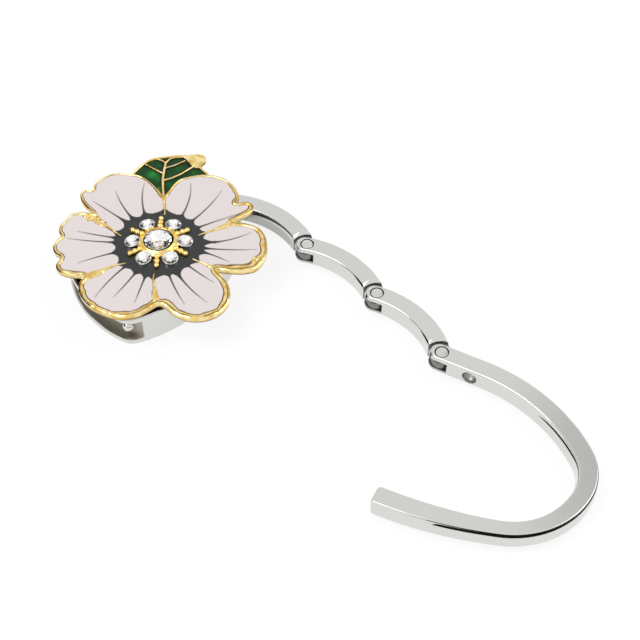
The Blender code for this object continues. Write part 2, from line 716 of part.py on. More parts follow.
def make_petal_enamel(name, table, angles, ridge, next_ridge, look):
    """One petal's enamel, from the dark ring out to the rim, between two ridges."""
    half = radians(RIDGE_HALF_ANGLE_DEG)
    spread = ENAMEL_GAP / RIDGE_START
    first = ridge + half + spread
    last = next_ridge - half - spread
    inside = [angle + turn for turn in (0, 2 * pi) for angle in angles if first < angle + turn < last]
    spots = [first] + [angle for angle in inside if first + spread < angle < last - spread] + [last]
    inner = DARK_OUTER_RADIUS + ENAMEL_GAP * 2
    top = []
    bottom = []
    for row in range(ENAMEL_ROWS + 1):
        share = row / ENAMEL_ROWS
        upper = []
        lower = []
        for angle in spots:
            outer = max(inner * 1.02, inset_radius(table, angle, rim_width(angle) + ENAMEL_GAP))
            radius = inner + (outer - inner) * share
            upper.append(domed(angle, radius, PLATE_FLOOR + ENAMEL_TOP))
            lower.append(domed(angle, radius, PLATE_FLOOR + ENAMEL_GAP))
        top.append(upper)
        bottom.append(lower)
    return slab(name, top, bottom, look)


def make_dark_enamel(look):
    """Dark enamel ring between the stone setting and the petals."""
    steps = ROUND_STEPS * 2
    spots = [2 * pi * step / steps for step in range(steps)]
    low = PLATE_FLOOR + ENAMEL_GAP
    high = PLATE_FLOOR + ENAMEL_TOP
    inner = DARK_INNER_RADIUS
    outer = DARK_OUTER_RADIUS
    rings = [[domed(angle, radius, height) for angle in spots]
             for radius, height in ((inner, low), (outer, low), (outer, high), (inner, high))]
    made = ring_tool("centre_enamel", rings)
    made.data.materials.append(look)
    return made


def setting_base():
    return PLATE_FLOOR + dome(0) + SEAT_GAP


def bezel_base():
    return PLATE_FLOOR + dome(0) + ENAMEL_TOP + SETTING_RISE


def spike(index):
    """Three beads in a row, the last a little smaller, turned about their own line."""
    profile = [(0, SPIKE_START)]
    place = SPIKE_START
    steps = 4
    for share in BEAD_RADIUS_SHARES:
        radius = share * BEAD_RADIUS
        for step in range(1, steps):
            turn = pi * step / steps
            profile.append((radius * sin(turn), place + radius * (1 - cos(turn))))
        place = place + 2 * radius
    profile.append((0, place))
    made = lathe("setting_spike_%d" % index, profile, steps=FINE_STEPS // 2)
    made.rotation_euler = (0, pi / 2, radians(SPIKE_OFFSET_DEG) + 2 * pi * index / SIDE_STONES)
    made.location = (0, 0, bezel_base() + BEAD_RADIUS)
    return made


def side_place(index):
    return polar(2 * pi * index / SIDE_STONES, SIDE_STONE_PLACE)


def make_setting(look):
    """Gold setting: a wide sloping ring, six small bezels round it, and six beaded spikes."""
    base = bezel_base()
    disc_top = base + SIDE_BEZEL_HEIGHT / 2
    centre_top = base + CENTRE_BEZEL_HEIGHT
    profile = ((0, setting_base()), (SETTING_DISC_RADIUS, setting_base()), (SETTING_DISC_RADIUS, disc_top),
               (CENTRE_STONE_RADIUS + STONE_GAP + BEZEL_WALL, centre_top), (0, centre_top))
    setting = lathe("stone_setting", profile, look)
    bezels = [disc_cutter("setting_bezel_%d" % index, side_place(index),
                          SIDE_STONE_RADIUS + STONE_GAP + BEZEL_WALL, base, base + SIDE_BEZEL_HEIGHT,
                          FINE_STEPS)
              for index in range(SIDE_STONES)]
    join(setting, *bezels, *[spike(index) for index in range(SIDE_STONES)])
    seats = [disc_cutter("setting_seat_%d" % index, side_place(index), SIDE_STONE_RADIUS + STONE_GAP,
                         base + SIDE_BEZEL_HEIGHT * (1 - SEAT_FLOOR_SHARE) - SIDE_STONE_RADIUS
                         * STONE_PAVILION_SHARE * SEAT_FLOOR_SHARE, centre_top, FINE_STEPS)
             for index in range(SIDE_STONES)]
    centre_seat = disc_cutter("setting_centre_seat", (0, 0), CENTRE_STONE_RADIUS + STONE_GAP,
                              centre_top - CENTRE_STONE_RADIUS * STONE_PAVILION_SHARE - BEZEL_WALL,
                              centre_top + CUT_OVERRUN)
    cut(setting, centre_seat, *seats)
    return setting


def make_stone(name, radius, place, girdle, sides, look):
    """A brilliant cut: table, crown, girdle and pointed pavilion, flat-faced."""
    crown = radius * STONE_CROWN_SHARE
    profile = ((0, girdle - radius * STONE_PAVILION_SHARE), (radius, girdle),
               (radius * STONE_TABLE_SHARE, girdle + crown), (0, girdle + crown))
    stone = lathe(name, profile, look, steps=sides)
    stone.data.shade_flat()
    stone.location = (place[0], place[1], 0)
    return stone


def build():
    clear_scene()
    plated = material("bright plated metal", (0.80, 0.80, 0.79), 0.16, 1)
    steel = material("polished steel", (0.74, 0.75, 0.76), 0.12, 1)
    gold = material("gold plating", (0.86, 0.60, 0.22), 0.22, 1)
    petal = material("pale pink enamel", (0.79, 0.72, 0.72), 0.12, 0)
    dark = material("slate enamel", (0.07, 0.08, 0.075), 0.15, 0)
    green = material("green enamel", (0.01, 0.13, 0.03), 0.08, 0)
    crystal = material("clear crystal", (0.93, 0.95, 0.97), 0.02, 0, transmission=0.9)

    body = make_body(plated)
    attach(make_catch_stud(steel), body)
    pin_0 = (PIN_0_X, PIN_0_Y)
    link_1, pin_1 = make_link("link_1", pin_0, radians(FIRST_HEADING_DEG), FIRST_PITCH, False, plated)
    link_2, pin_2 = make_link("link_2", pin_1, radians(SECOND_HEADING_DEG), LINK_PITCH, True, plated)
    link_3, pin_3 = make_link("link_3", pin_2, radians(THIRD_HEADING_DEG), LINK_PITCH, True, plated)
    hook = make_hook(pin_3, plated)
    attach(make_pin("pin_0", pin_0, SEAT_GAP, BODY_HEIGHT, steel), body)
    attach(make_pin("pin_1", pin_1, BAR_LOW, BAR_HIGH, steel), link_2)
    attach(make_pin("pin_2", pin_2, BAR_LOW, BAR_HIGH, steel), link_3)
    attach(make_pin("pin_3", pin_3, BAR_LOW, BAR_HIGH, steel), hook)
    for piece, carrier in ((hook, link_3), (link_3, link_2), (link_2, link_1), (link_1, body)):
        attach(piece, carrier)

    casting, table, angles = make_flower_casting(gold)
    attach(casting, body)
    names = ("right", "upper_right", "upper_left", "left", "lower_left", "lower_right")
    ridges = [radians(deg) for deg in RIDGE_ANGLES_DEG] + [radians(RIDGE_ANGLES_DEG[0]) + 2 * pi]
    for name, ridge, next_ridge in zip(names, ridges, ridges[1:]):
        enamel = make_petal_enamel("petal_enamel_" + name, table, angles, ridge, next_ridge, petal)
        attach(enamel, body)
    attach(make_dark_enamel(dark), body)
    for index in range(len(LEAF_CELL_SHARES)):
        attach(make_leaf_enamel(index, table, green), body)
    attach(make_setting(gold), body)
    centre_girdle = bezel_base() + CENTRE_BEZEL_HEIGHT - BEZEL_WALL / 2
    attach(make_stone("centre_crystal", CENTRE_STONE_RADIUS, (0, 0), centre_girdle, FINE_STEPS, crystal), body)
    side_girdle = bezel_base() + SIDE_BEZEL_HEIGHT - BEZEL_WALL / 2
    for index in range(SIDE_STONES):
        stone = make_stone("side_crystal_%d" % (index + 1), SIDE_STONE_RADIUS, side_place(index),
                           side_girdle, FINE_STEPS // 2, crystal)
        attach(stone, body)


build()
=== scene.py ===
"""Looks of the folding bag hanger: plated body, links and hook, and an enamelled gold flower.

Shapes are worked out in millimetres in the CAD frame and put into meshes in metres. The plan
runs in X and Y, and Z is the height over the body's underside.
"""

import math

import bmesh
import bpy
import numpy as np
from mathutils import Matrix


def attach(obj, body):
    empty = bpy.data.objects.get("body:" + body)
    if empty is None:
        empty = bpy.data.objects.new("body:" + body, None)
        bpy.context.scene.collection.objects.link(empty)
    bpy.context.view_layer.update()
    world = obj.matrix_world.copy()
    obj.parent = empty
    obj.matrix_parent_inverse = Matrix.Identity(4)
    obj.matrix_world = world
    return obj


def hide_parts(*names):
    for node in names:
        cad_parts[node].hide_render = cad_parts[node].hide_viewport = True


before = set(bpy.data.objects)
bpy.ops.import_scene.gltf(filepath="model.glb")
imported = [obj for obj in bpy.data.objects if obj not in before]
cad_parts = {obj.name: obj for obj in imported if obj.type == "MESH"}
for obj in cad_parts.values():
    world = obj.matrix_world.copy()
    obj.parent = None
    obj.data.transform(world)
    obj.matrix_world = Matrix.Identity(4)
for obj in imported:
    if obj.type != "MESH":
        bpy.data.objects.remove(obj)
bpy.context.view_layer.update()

MM = 0.001
TURN = 2 * np.pi
SHARP_ANGLE = math.radians(32)

# Heights and sizes in millimetres, as in the CAD but for small liberties with the dimple and ball
BODY_HEIGHT = 7.8
BAR_LOW, BAR_MID, BAR_HIGH = 1.9, 3.9, 5.9
BAR_WIDTH = 4.2
PIN_PLACES = ((13.2, 17.8), (30.827, 4.469), (45.382, -9.392), (57.95, -25.079))
LINK_HEADINGS = (-37.1, -43.6, -51.3)
LINK_PITCHES = (22.1, 20.1, 20.1)
LINK_RADIUS = 20.6
HOOK_LENGTH = 88.3
HOOK_HEADING = -27.5
HOOK_STRETCHES = ((0.104, 0), (0.305, -43.7), (0.104, -48.5), (0.216, -70.3), (0.271, -16))
# How far the hook narrows in its bend, and where and how widely, as shares of its length
BEND_NARROWING, BEND_PLACE, BEND_SPREAD = 0.9, 0.686, 0.16
EAR_SETBACK = 0.45
PIN_RADIUS, PIN_HOLE = 1.25, 1.46
SLOT_RADIUS, SLOT_HALF = 2.9, 1.05
SHOULDER_RADIUS, TONGUE_HALF = 3.1, 0.8
DIMPLE_PLACE, BOWL_RADIUS, BOWL_DEPTH = 7.0, 1.55, 1.65
# The body's wall round the groove and the foot wall are arcs: (middle, radius)
GROOVE_MIDDLE, FLANGE_RADIUS, GROOVE_RADIUS = (5.6, 4.8), 26.1, 23.7
FOOT_MIDDLE, FOOT_RADIUS = (-14.9, 11.2), 31.5
GROOVE_LOW, GROOVE_HIGH = 1.4, 6.4
LUG_RADIUS = 2.3
CATCH_WAY = math.radians(242.3)
BALL_RADIUS, BALL_REACH = 1.3, 0.4
PLATE_UNDER = 8.9
FLOOR_HEIGHT = 9.6
ENAMEL_HEIGHT = 10.3
FLOWER_RADIUS = 24.0
DOME_RISE = 0.5
RIM_RISE = 0.92
DARK_EDGE = 8.7
DARK_REACH = 8.9
ENAMEL_DROP = 0.03
PETAL_GAP = 0.0175
# Ridges between the petals, as (radius, angle) from the dark centre out to the notch
RIDGES = (
    ((9.4, -30.7), (11.8, -30.1), (14.1, -30.2), (16.0, -31.0)),
    ((7.5, 15.1), (9.3, 17.5), (11.6, 18.8), (13.9, 20.8), (16.1, 22.8)),
    ((8.8, 86.0), (11.3, 88.3), (13.8, 90.0)),
    ((8.2, 164.8), (11.2, 158.5), (13.9, 153.4), (16.9, 149.1)),
    ((8.1, 221.4), (10.1, 216.4), (12.2, 214.4), (14.0, 213.4), (16.2, 212.3), (17.2, 211.5)),
    ((9.8, 267.4), (12.0, 269.7), (14.3, 271.6), (16.2, 273.4)))
PETAL_NAMES = ("right", "upper_right", "upper_left", "left", "lower_left", "lower_right")
OUTLINE_TABLE = (
    (-31, 0.600), (-27, 0.696), (-23, 0.808), (-19, 0.888), (-13, 0.929), (-5, 0.946), (1, 0.938),
    (8, 0.921), (14, 0.871), (19, 0.783), (23, 0.675), (25, 0.779), (27, 0.892), (31, 0.938),
    (35, 0.912), (38, 0.825), (41, 0.896), (47, 0.942), (55, 0.975), (61, 0.971), (68, 0.938),
    (75, 0.875), (80, 0.829), (84, 0.746), (87, 0.650), (90, 0.575), (94, 0.658), (99, 0.758),
    (105, 0.875), (110, 0.929), (115, 0.988), (121, 1.012), (126, 1.012), (131, 0.979), (134, 0.929),
    (137, 0.983), (141, 0.971), (145, 0.875), (149, 0.710), (152, 0.817), (155, 0.883), (160, 0.898),
    (166, 0.917), (170, 0.904), (173, 0.875), (177, 0.900), (181, 0.921), (186, 0.904), (190, 0.854),
    (196, 0.904), (201, 0.888), (206, 0.817), (211.5, 0.716), (215, 0.783), (219, 0.829),
    (225, 0.862), (233, 0.883), (243, 0.883), (253, 0.867), (262, 0.804), (268, 0.733), (273.5, 0.684),
    (278, 0.717), (283, 0.808), (290, 0.900), (298, 0.950), (306, 0.958), (313, 0.925), (319, 0.854),
    (324, 0.758))
# How far each ridge spreads at its outer end: clockwise and counter-clockwise, in millimetres
RIDGE_SPREADS = ((0.9, 0.0), (0.9, 0.1), (0.2, 0.7), (0.1, 1.5), (0.2, 1.2), (0.9, 0.2))

# Rough spots of the casting that stand over the enamel: (x, y, size)
CAST_LUMPS = ((-16.2, 8.4, 1.0), (-15.2, 7.2, 0.8), (-15.0, -9.2, 1.1), (0.6, -15.8, 0.9),
              (20.3, -4.4, 1.2))

# Grey veins painted on the petals: (angle, radius) at the tip and where they leave the dark centre
VEINS = (
    ((124, 18.8), (130, 9.9)), ((104, 18.6), (113, 9.2)), ((140, 19.7), (140, 10.5)),
    ((73, 18.9), (62, 8.6)), ((52, 20.0), (45, 8.9)), ((28, 20.0), (30, 8.8)),
    ((168, 17.8), (170, 9.6)), ((175, 19.5), (178, 9.4)), ((198, 17.2), (196, 9.4)),
    ((231, 19.0), (225, 8.9)), ((241, 16.8), (243, 8.9)), ((257, 16.5), (257, 9.3)),
    ((291, 17.7), (287, 8.7)), ((304, 19.2), (298, 10.2)), ((318, 15.9), (316, 8.4)),
    ((10, 19.4), (2, 11.5)), ((-4, 20.5), (-8, 9.8)), ((-19, 15.6), (-15, 10.1)))

# Leaf: outline and veins in plan
LEAF_OUTLINE = (
    (-7.5, 22.3), (-6.8, 23.7), (-5.0, 26.0), (-2.4, 27.3), (1.0, 27.9), (4.5, 28.1), (6.8, 28.1),
    (8.1, 27.4), (8.3, 26.2), (7.3, 24.7), (8.2, 23.2), (9.1, 22.0), (8.5, 20.0), (4.5, 18.5),
    (1.5, 14.5), (0.0, 12.8), (-2.2, 14.0), (-4.5, 18.0), (-7.5, 20.5))
LEAF_VEINS = (
    ((-0.2, 14.6), (-0.4, 16.4), (-0.6, 18.4), (-0.8, 20.2), (-0.75, 22.2), (-0.65, 24.0),
     (-0.5, 25.6)),
    ((-0.5, 25.6), (-1.5, 26.3), (-2.8, 27.0)), ((-0.5, 25.6), (0.4, 26.9), (1.4, 27.3), (3.2, 27.5)),
    ((-0.8, 22.2), (-1.4, 22.6), (-3.2, 23.8), (-5.2, 25.3)),
    ((-0.6, 20.1), (1.0, 20.7), (2.9, 21.9), (5.2, 24.0), (6.2, 24.6)))
LEAF_THIN_VEIN = ((-0.5, 23.9), (1.4, 24.7), (3.7, 26.2))
LEAF_TAB = ((3.0, 27.9), (3.6, 26.9), (4.5, 25.7), (5.3, 24.5), (6.2, 23.9), (7.0, 23.9), (7.6, 24.8),
            (8.6, 26.2), (8.3, 27.6), (6.9, 28.4))
# Painted highlights in the leaf's enamel: (x, y, size, strength)
LEAF_PAINTED_HIGHLIGHTS = ((-3.2, 22.0, 1.1, 0.75), (-1.7, 20.6, 0.8, 0.35), (-1.0, 17.3, 0.75, 1.0),
               (2.4, 23.8, 0.8, 0.2), (6.0, 22.6, 0.8, 0.22), (-1.9, 25.0, 0.6, 0.12),
               (0.7, 18.9, 0.6, 0.2), (2.6, 26.2, 0.6, 0.12))
LEAF_MIDDLE = (0.2, 22.0)
LEAF_FLOOR, LEAF_ENAMEL = 8.95, 9.42

# Stones and their setting
CENTRE_STONE = 3.05
SIDE_STONE = 1.55
SIDE_PLACE = 5.4
STONE_LEAN = math.radians(9)
STONE_BASE = ENAMEL_HEIGHT + DOME_RISE
# Beads of one row of the setting: (distance from the centre, radius, height over the base, steps)
BEADS = ((4.3, 0.68, 0.56, 28), (5.5, 0.66, 0.46, 28), (6.65, 0.60, 0.42, 28),
         (4.9, 0.50, 0.40, 20), (6.1, 0.50, 0.40, 20))

# Strength of the shade painted into the hollows: hinges, the groove, link 1 under the flower, the
# dimple's bowl
HINGE_SHADE, GROOVE_SHADE, COVERED_SHADE, BOWL_SHADE = 0.85, 0.85, 0.5, 0.6

# Where the lamps aim, in metres
LAMP_AIM = (0.03, -0.02, 0)
# Way from the hanger to the studio's darker patch, and the tone of its dark strips
PATCH_WAY = (0.223, 0.549, 0.805)
STRIP_LEVEL = 0.01
# Links' strips: (first step, near and far distance, rise)
LINK_STRIPS = ((18, 9.0, 13, 1.0), (32, 6.6, 13, 5.5), (32, 6.6, 13, 5.5))


def polar(angle, radius):
    """Points at angles and radii round the flower's centre."""
    return np.stack([radius * np.cos(angle), radius * np.sin(angle)], -1)


def unit(heading):
    """The unit vector in plan along a heading."""
    return np.array([math.cos(heading), math.sin(heading)])


def angle_off(angle, middle):
    """Signed angle from a middle one, brought to between minus and plus half a turn."""
    return (angle - middle + np.pi) % TURN - np.pi


def interp_round(turn, angle, values):
    """Values at other angles, straight between the given ones and closed all the way round."""
    return np.interp(turn % TURN, np.append(angle, TURN), np.append(values, values[0]))


def catmull(a, b, c, d, t):
    """The Catmull-Rom curve from b to c at share t, with a and d as the points beyond."""
    return b + ((c - a) * t + (2 * a - 5 * b + 4 * c - d) * t ** 2
                + (3 * b - a - 3 * c + d) * t ** 3) / 2


def plan_reach(points, place):
    """Distances in plan from a place to points."""
    return np.hypot(*(points[:, :2] - place).T)


def smoothstep(value, low, high):
    """Zero below low, one above high, and 3t^2 - 2t^3 between them."""
    t = np.clip((value - low) / (high - low), 0, 1)
    return t * t * (3 - 2 * t)


def mesh_object(name, points, faces, scale=MM):
    """A mesh object in the scene, from points in millimetres, or in metres with a scale of one."""
    mesh = bpy.data.meshes.new(name)
    mesh.from_pydata((np.asarray(points, float) * scale).tolist(), [], faces)
    made = bpy.data.objects.new(name, mesh)
    bpy.context.scene.collection.objects.link(made)
    return made


def smooth(mesh):
    """Smooth shading with sharp edges where the faces turn by more than the sharp angle."""
    mesh.shade_smooth()
    mesh.set_sharp_from_angle(angle=SHARP_ANGLE)


def make_piece(name, points, faces, body, slot, finish, replaced=(), flat=False):
    """A mesh from millimetre points, at the origin, which rides on a body."""
    made = mesh_object(name, points, faces)
    made.data.validate()
    if flat:
        made.data.shade_flat()
    else:
        smooth(made.data)
    made.data.materials.append(finish)
    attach(made, body)
    if replaced:
        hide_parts(*replaced)
    return made


def grid_faces(rows, columns, wrapped=True, first=0):
    """Quads between neighbouring rows of a grid whose columns may run round."""
    across = np.arange(columns if wrapped else columns - 1)
    after = (across + 1) % columns
    start = first + np.arange(rows - 1)[:, None] * columns
    quads = np.stack([start + across, start + after, start + columns + after,
                      start + columns + across], -1)
    return quads.reshape(-1, 4).tolist()


def ring_solid(rings):
    """A closed surface from a stack of equal rings (rows, columns, 3), capped at both ends."""
    rings = np.asarray(rings, float)
    rows, columns = rings.shape[:2]
    faces = grid_faces(rows, columns)
    faces.append(list(range(columns))[::-1])
    faces.append(list(range((rows - 1) * columns, rows * columns)))
    return rings.reshape(-1, 3), faces


def turned(profile, steps=96, place=(0, 0)):
    """A profile of (radius, height) turned round a vertical axis, from the bottom up."""
    profile = np.asarray(profile, float)
    angle = np.arange(steps) * TURN / steps
    x = place[0] + profile[:, :1] * np.cos(angle)
    y = place[1] + profile[:, :1] * np.sin(angle)
    z = np.repeat(profile[:, 1:], steps, 1)
    return ring_solid(np.stack([x, y, z], -1))


def held(profile, flat=0.06):
    """A profile with a narrow level step added at both ends, which keeps the faces inside it flat."""
    (first, low), (last, high) = profile[0], profile[-1]
    return np.vstack([[first + flat, low], profile, [last + flat, high]])


def side_profile(low, high, under, over):
    """(inset, height) up a side between two edges, each a quarter ellipse.

    An edge is (width, height, steps). Its points go by 1 - sin and 1 - cos of an even turn.
    """
    width, rise, steps = under
    turn = np.linspace(0, np.pi / 2, steps)
    lower = np.stack([width * (1 - np.sin(turn)), low + rise * (1 - np.cos(turn))], 1)
    width, rise, steps = over
    turn = np.linspace(0, np.pi / 2, steps)
    upper = np.stack([width * (1 - np.cos(turn)), high - rise * (1 - np.sin(turn))], 1)
    return held(np.vstack([lower, upper]))


# A bar has a small round edge below and a long soft one above; the body has two alike
BAR_PROFILE = side_profile(BAR_LOW, BAR_HIGH, (0.35, 0.35, 7), (0.44, 1.35, 15))
BODY_PROFILE = side_profile(0, BODY_HEIGHT, (0.45, 0.45, 6), (0.45, 0.45, 6))


def outward(outline):
    """Outward unit normals of a counter-clockwise outline: the mean of its sides' normals."""
    side = np.roll(outline, -1, 0) - outline
    side /= np.hypot(*side.T)[:, None]
    mean = side + np.roll(side, 1, 0)
    mean /= np.hypot(*mean.T)[:, None]
    return np.stack([mean[:, 1], -mean[:, 0]], 1)


def plate(outline, profile):
    """An outline in plan drawn up along a profile of (inset, height), inset along its normals."""
    normals = outward(outline)
    rings = [np.column_stack([outline - inset * normals, np.full(len(outline), height)])
             for inset, height in profile]
    return ring_solid(rings)


def carve(target, tools):
    """Cuts tool solids out of a piece and shades the one plain mesh that is left."""
    made = []
    for points, faces in tools:
        tool = mesh_object("cutter", points, faces)
        tool.data.shade_smooth()
        cut = target.modifiers.new("cut", "BOOLEAN")
        cut.operation = "DIFFERENCE"
        cut.solver = "EXACT"
        cut.object = tool
        made.append(tool)
    view = bpy.context.evaluated_depsgraph_get()
    result = bpy.data.meshes.new_from_object(target.evaluated_get(view))
    target.modifiers.clear()
    target.data = result
    for tool in made:
        bpy.data.objects.remove(tool)
    smooth(result)


def connect(tree, socket, term):
    """Gives an input a number, a colour of three parts, or another node's output."""
    if isinstance(term, bpy.types.NodeSocket):
        tree.links.new(term, socket)
    elif socket.type == "RGBA":
        socket.default_value = (*term, 1)
    else:
        socket.default_value = term


def feed(tree, node, **terms):
    """Connects a node's inputs by name, with underscores for spaces."""
    for name, term in terms.items():
        connect(tree, node.inputs[name.replace("_", " ")], term)
    return node


def add_node(tree, kind, **terms):
    """A new shader node with its inputs fed."""
    return feed(tree, tree.nodes.new("ShaderNode" + kind), **terms)


def worked(tree, operation, *terms):
    """The result of a Math node on numbers and other nodes' outputs."""
    made = tree.nodes.new("ShaderNodeMath")
    made.operation = operation
    for socket, term in zip(made.inputs, terms):
        connect(tree, socket, term)
    return made.outputs[0]


def mixed(tree, share, one, two):
    """A colour that turns from one to two by a share."""
    made = tree.nodes.new("ShaderNodeMix")
    made.data_type = "RGBA"
    return feed(tree, made, Factor=share, A=one, B=two).outputs["Result"]


def paint_values(tree):
    """The piece's own paint values, one a point."""
    made = tree.nodes.new("ShaderNodeAttribute")
    made.attribute_name = "paint"
    return made.outputs["Fac"]


def shader_group(name, inputs, outputs):
    """An empty shader node group with named sockets: numbers in, a number and a normal out."""
    group = bpy.data.node_groups.new(name, "ShaderNodeTree")
    for socket, value in inputs:
        made = group.interface.new_socket(socket, in_out="INPUT", socket_type="NodeSocketFloat")
        made.default_value = value
    for socket, kind in zip(outputs, ("NodeSocketFloat", "NodeSocketVector")):
        group.interface.new_socket(socket, in_out="OUTPUT", socket_type=kind)
    return group, group.nodes.new("NodeGroupInput").outputs, group.nodes.new("NodeGroupOutput")


def handling_group():
    """Soft cloudiness and fine rubbed lines for polished metal: a roughness and a normal."""
    group, given, put = shader_group(
        "handling", (("Roughness", 0.1), ("Cloud", 0.05), ("Line Depth", 0.05), ("Scale", 300.0)),
        ("Roughness", "Normal"))
    place = add_node(group, "TexCoord").outputs["Object"]
    cloud = add_node(group, "TexNoise", Vector=place, Scale=given["Scale"], Detail=4).outputs["Fac"]
    stretch = add_node(group, "Mapping", Vector=place, Rotation=(0, 0, math.radians(40)),
                       Scale=(700, 9000, 9000))
    lines = add_node(group, "TexNoise", Vector=stretch.outputs["Vector"], Scale=1, Detail=2)
    bump = add_node(group, "Bump", Strength=given["Line Depth"], Distance=0.00002,
                    Height=lines.outputs["Fac"])
    feed(group, put, Normal=bump.outputs["Normal"],
         Roughness=worked(group, "MULTIPLY_ADD", cloud, given["Cloud"], given["Roughness"]))
    return group


def hammer_group():
    """Uneven cast surface: low round dents, and a mask of what stands between them."""
    group, given, put = shader_group("cast_unevenness", (("Scale", 900.0), ("Depth", 0.3)),
                                     ("Raised", "Normal"))
    place = add_node(group, "TexCoord").outputs["Object"]
    dents = add_node(group, "TexNoise", Vector=place, Scale=given["Scale"], Detail=3).outputs["Fac"]
    mask = add_node(group, "MapRange", Value=dents, From_Min=0.38, From_Max=0.62)
    bump = add_node(group, "Bump", Strength=given["Depth"], Distance=0.0003, Height=dents)
    feed(group, put, Raised=mask.outputs["Result"], Normal=bump.outputs["Normal"])
    return group


def new_finish(name, **terms):
    """A material with its node tree and its Principled shader, whose inputs are fed."""
    made = bpy.data.materials.new(name)
    made.use_nodes = True
    tree = made.node_tree
    return made, tree, feed(tree, tree.nodes["Principled BSDF"], **terms)


def place_group(tree, group, **values):
    """A group node with its own values."""
    made = tree.nodes.new("ShaderNodeGroup")
    made.node_tree = group
    return feed(tree, made, **values)


def metal_finish(name, roughness, line_depth, shade=None):
    """Polished plated metal with slight cloudiness and fine lines; where painted, a painted shade makes
    it darker and duller.
    """
    made, tree, shader = new_finish(name, Base_Color=PLATING_COLOUR, Metallic=1)
    paint = paint_values(tree)
    if shade:
        feed(tree, shader, Base_Color=mixed(tree, paint, PLATING_COLOUR, shade))
    wear = place_group(tree, HANDLING, Roughness=roughness, Cloud=0.05, Line_Depth=line_depth,
                       Scale=300.0)
    dull = worked(tree, "MULTIPLY_ADD", paint, PAINT_DULLING, wear.outputs["Roughness"])
    feed(tree, shader, Roughness=dull, Normal=wear.outputs["Normal"])
    return made


def gold_finish(name, bright, deep, painted_shade, roughness, scale, depth):
    """Cast gold plating: redder and rougher in the dents, partly as painted shade, and painted shade
    where painted.
    """
    made, tree, shader = new_finish(name, Metallic=1)
    cast = place_group(tree, HAMMER, Scale=scale, Depth=depth)
    raised = cast.outputs["Raised"]
    gold = mixed(tree, raised, deep, bright)
    rough = worked(tree, "MULTIPLY_ADD", raised, -HOLLOW_ROUGHNESS, roughness + HOLLOW_ROUGHNESS)
    feed(tree, shader, Base_Color=mixed(tree, paint_values(tree), gold, painted_shade), Roughness=rough,
         Normal=cast.outputs["Normal"])
    return made


def enamel_finish(name, plain, second, roughness=0.12, coat=0.15, gloss=0.35):
    """Glossy wavy enamel between two plain colours, whose second colour follows the paint values."""
    made, tree, shader = new_finish(name, Roughness=roughness, Specular_IOR_Level=gloss,
                                    Coat_Weight=coat, Coat_Roughness=0.04)
    place = add_node(tree, "TexCoord").outputs["Object"]
    tone = add_node(tree, "TexNoise", Vector=place, Scale=160, Detail=3).outputs["Fac"]
    waves = add_node(tree, "TexNoise", Vector=place, Scale=220, Detail=1).outputs["Fac"]
    bump = add_node(tree, "Bump", Strength=0.15, Distance=0.0002, Height=waves)
    base = mixed(tree, tone, *plain)
    feed(tree, shader, Base_Color=mixed(tree, paint_values(tree), base, second),
         Normal=bump.outputs["Normal"])
    return made


PLATING_COLOUR = (0.68, 0.685, 0.655)
PAINT_DULLING = 0.38
HOLLOW_ROUGHNESS = 0.06
HANDLING = handling_group()
HAMMER = hammer_group()
# Each plating's last colour is the shade painted into its hollows: the body's groove, the bars' hinges
# and slots
PLATED = metal_finish("bright plating", 0.06, 0.012, (0.36, 0.335, 0.28))
BAR_PLATED = metal_finish("bright bar plating", 0.06, 0.012, (0.16, 0.16, 0.155))
STEEL = metal_finish("polished pin ends", 0.07, 0.03)
# Each gold's last colour is painted shade: brown on the flower and leaf, also standing for dark
# reflections, near black in the stone's seat
GOLD = gold_finish("gold plating", (0.98, 0.80, 0.40), (0.78, 0.50, 0.12), (0.14, 0.075, 0.015),
                   0.09, 560, 0.20)
SETTING_GOLD = gold_finish("gold setting", (0.95, 0.73, 0.30), (0.82, 0.54, 0.14),
                           (0.05, 0.035, 0.015), 0.10, 800, 0.26)
PALE = enamel_finish("pale enamel", ((0.755, 0.685, 0.672), (0.735, 0.675, 0.67)),
                     (0.021, 0.024, 0.022))
SLATE = enamel_finish("slate enamel", ((0.019, 0.022, 0.020), (0.026, 0.029, 0.027)),
                      (0.01, 0.01, 0.01))
# The green enamel's second colour is the colour of its painted highlights
GREEN = enamel_finish("green enamel", ((0.007, 0.008, 0.005), (0.004, 0.018, 0.008)),
                      (0.016, 0.27, 0.034), 0.08, 0.0, 0.14)
CRYSTAL = new_finish("cut crystal", Base_Color=(1, 1, 1), Roughness=0.0, IOR=1.56,
                     Transmission_Weight=1)[0]
FOIL = new_finish("stone foil", Base_Color=(0.97, 0.97, 0.97), Metallic=1, Roughness=0.02)[0]


def link_path(index, steps=72):
    """A link's clockwise arc, whose chord leaves its pin along its heading: points and tangents."""
    half = math.asin(LINK_PITCHES[index] / (2 * LINK_RADIUS))
    tangent = math.radians(LINK_HEADINGS[index]) + half - 2 * half * np.arange(steps + 1) / steps
    centre = np.array(PIN_PLACES[index]) + LINK_RADIUS * unit(tangent[0] - np.pi / 2)
    return centre + LINK_RADIUS * np.stack([-np.sin(tangent), np.cos(tangent)], 1), tangent


def hook_path(steps=520, ease=0.012):
    """The hook's centreline: its stretches' curvature, softened where they meet, summed twice."""
    share = (np.arange(steps) + 0.5) / steps
    ends = np.cumsum([length for length, _ in HOOK_STRETCHES])
    bend = np.zeros(steps)
    begin = 0
    for end, (length, turn) in zip(ends, HOOK_STRETCHES):
        inside = np.ones(steps)
        if begin:
            inside = smoothstep(share, begin - ease, begin + ease)
        if end != ends[-1]:
            inside = inside * (1 - smoothstep(share, end - ease, end + ease))
        bend += math.radians(turn) / length * inside
        begin = end
    total = math.radians(sum(turn for _, turn in HOOK_STRETCHES))
    bend *= total / (bend.sum() / steps)
    tangent = math.radians(HOOK_HEADING) + np.concatenate([[0], np.cumsum(bend) / steps])
    middle = (tangent[1:] + tangent[:-1]) / 2
    step = HOOK_LENGTH / steps * np.stack([np.cos(middle), np.sin(middle)], 1)
    return np.array(PIN_PLACES[3]) + np.vstack([[0, 0], np.cumsum(step, 0)]), tangent


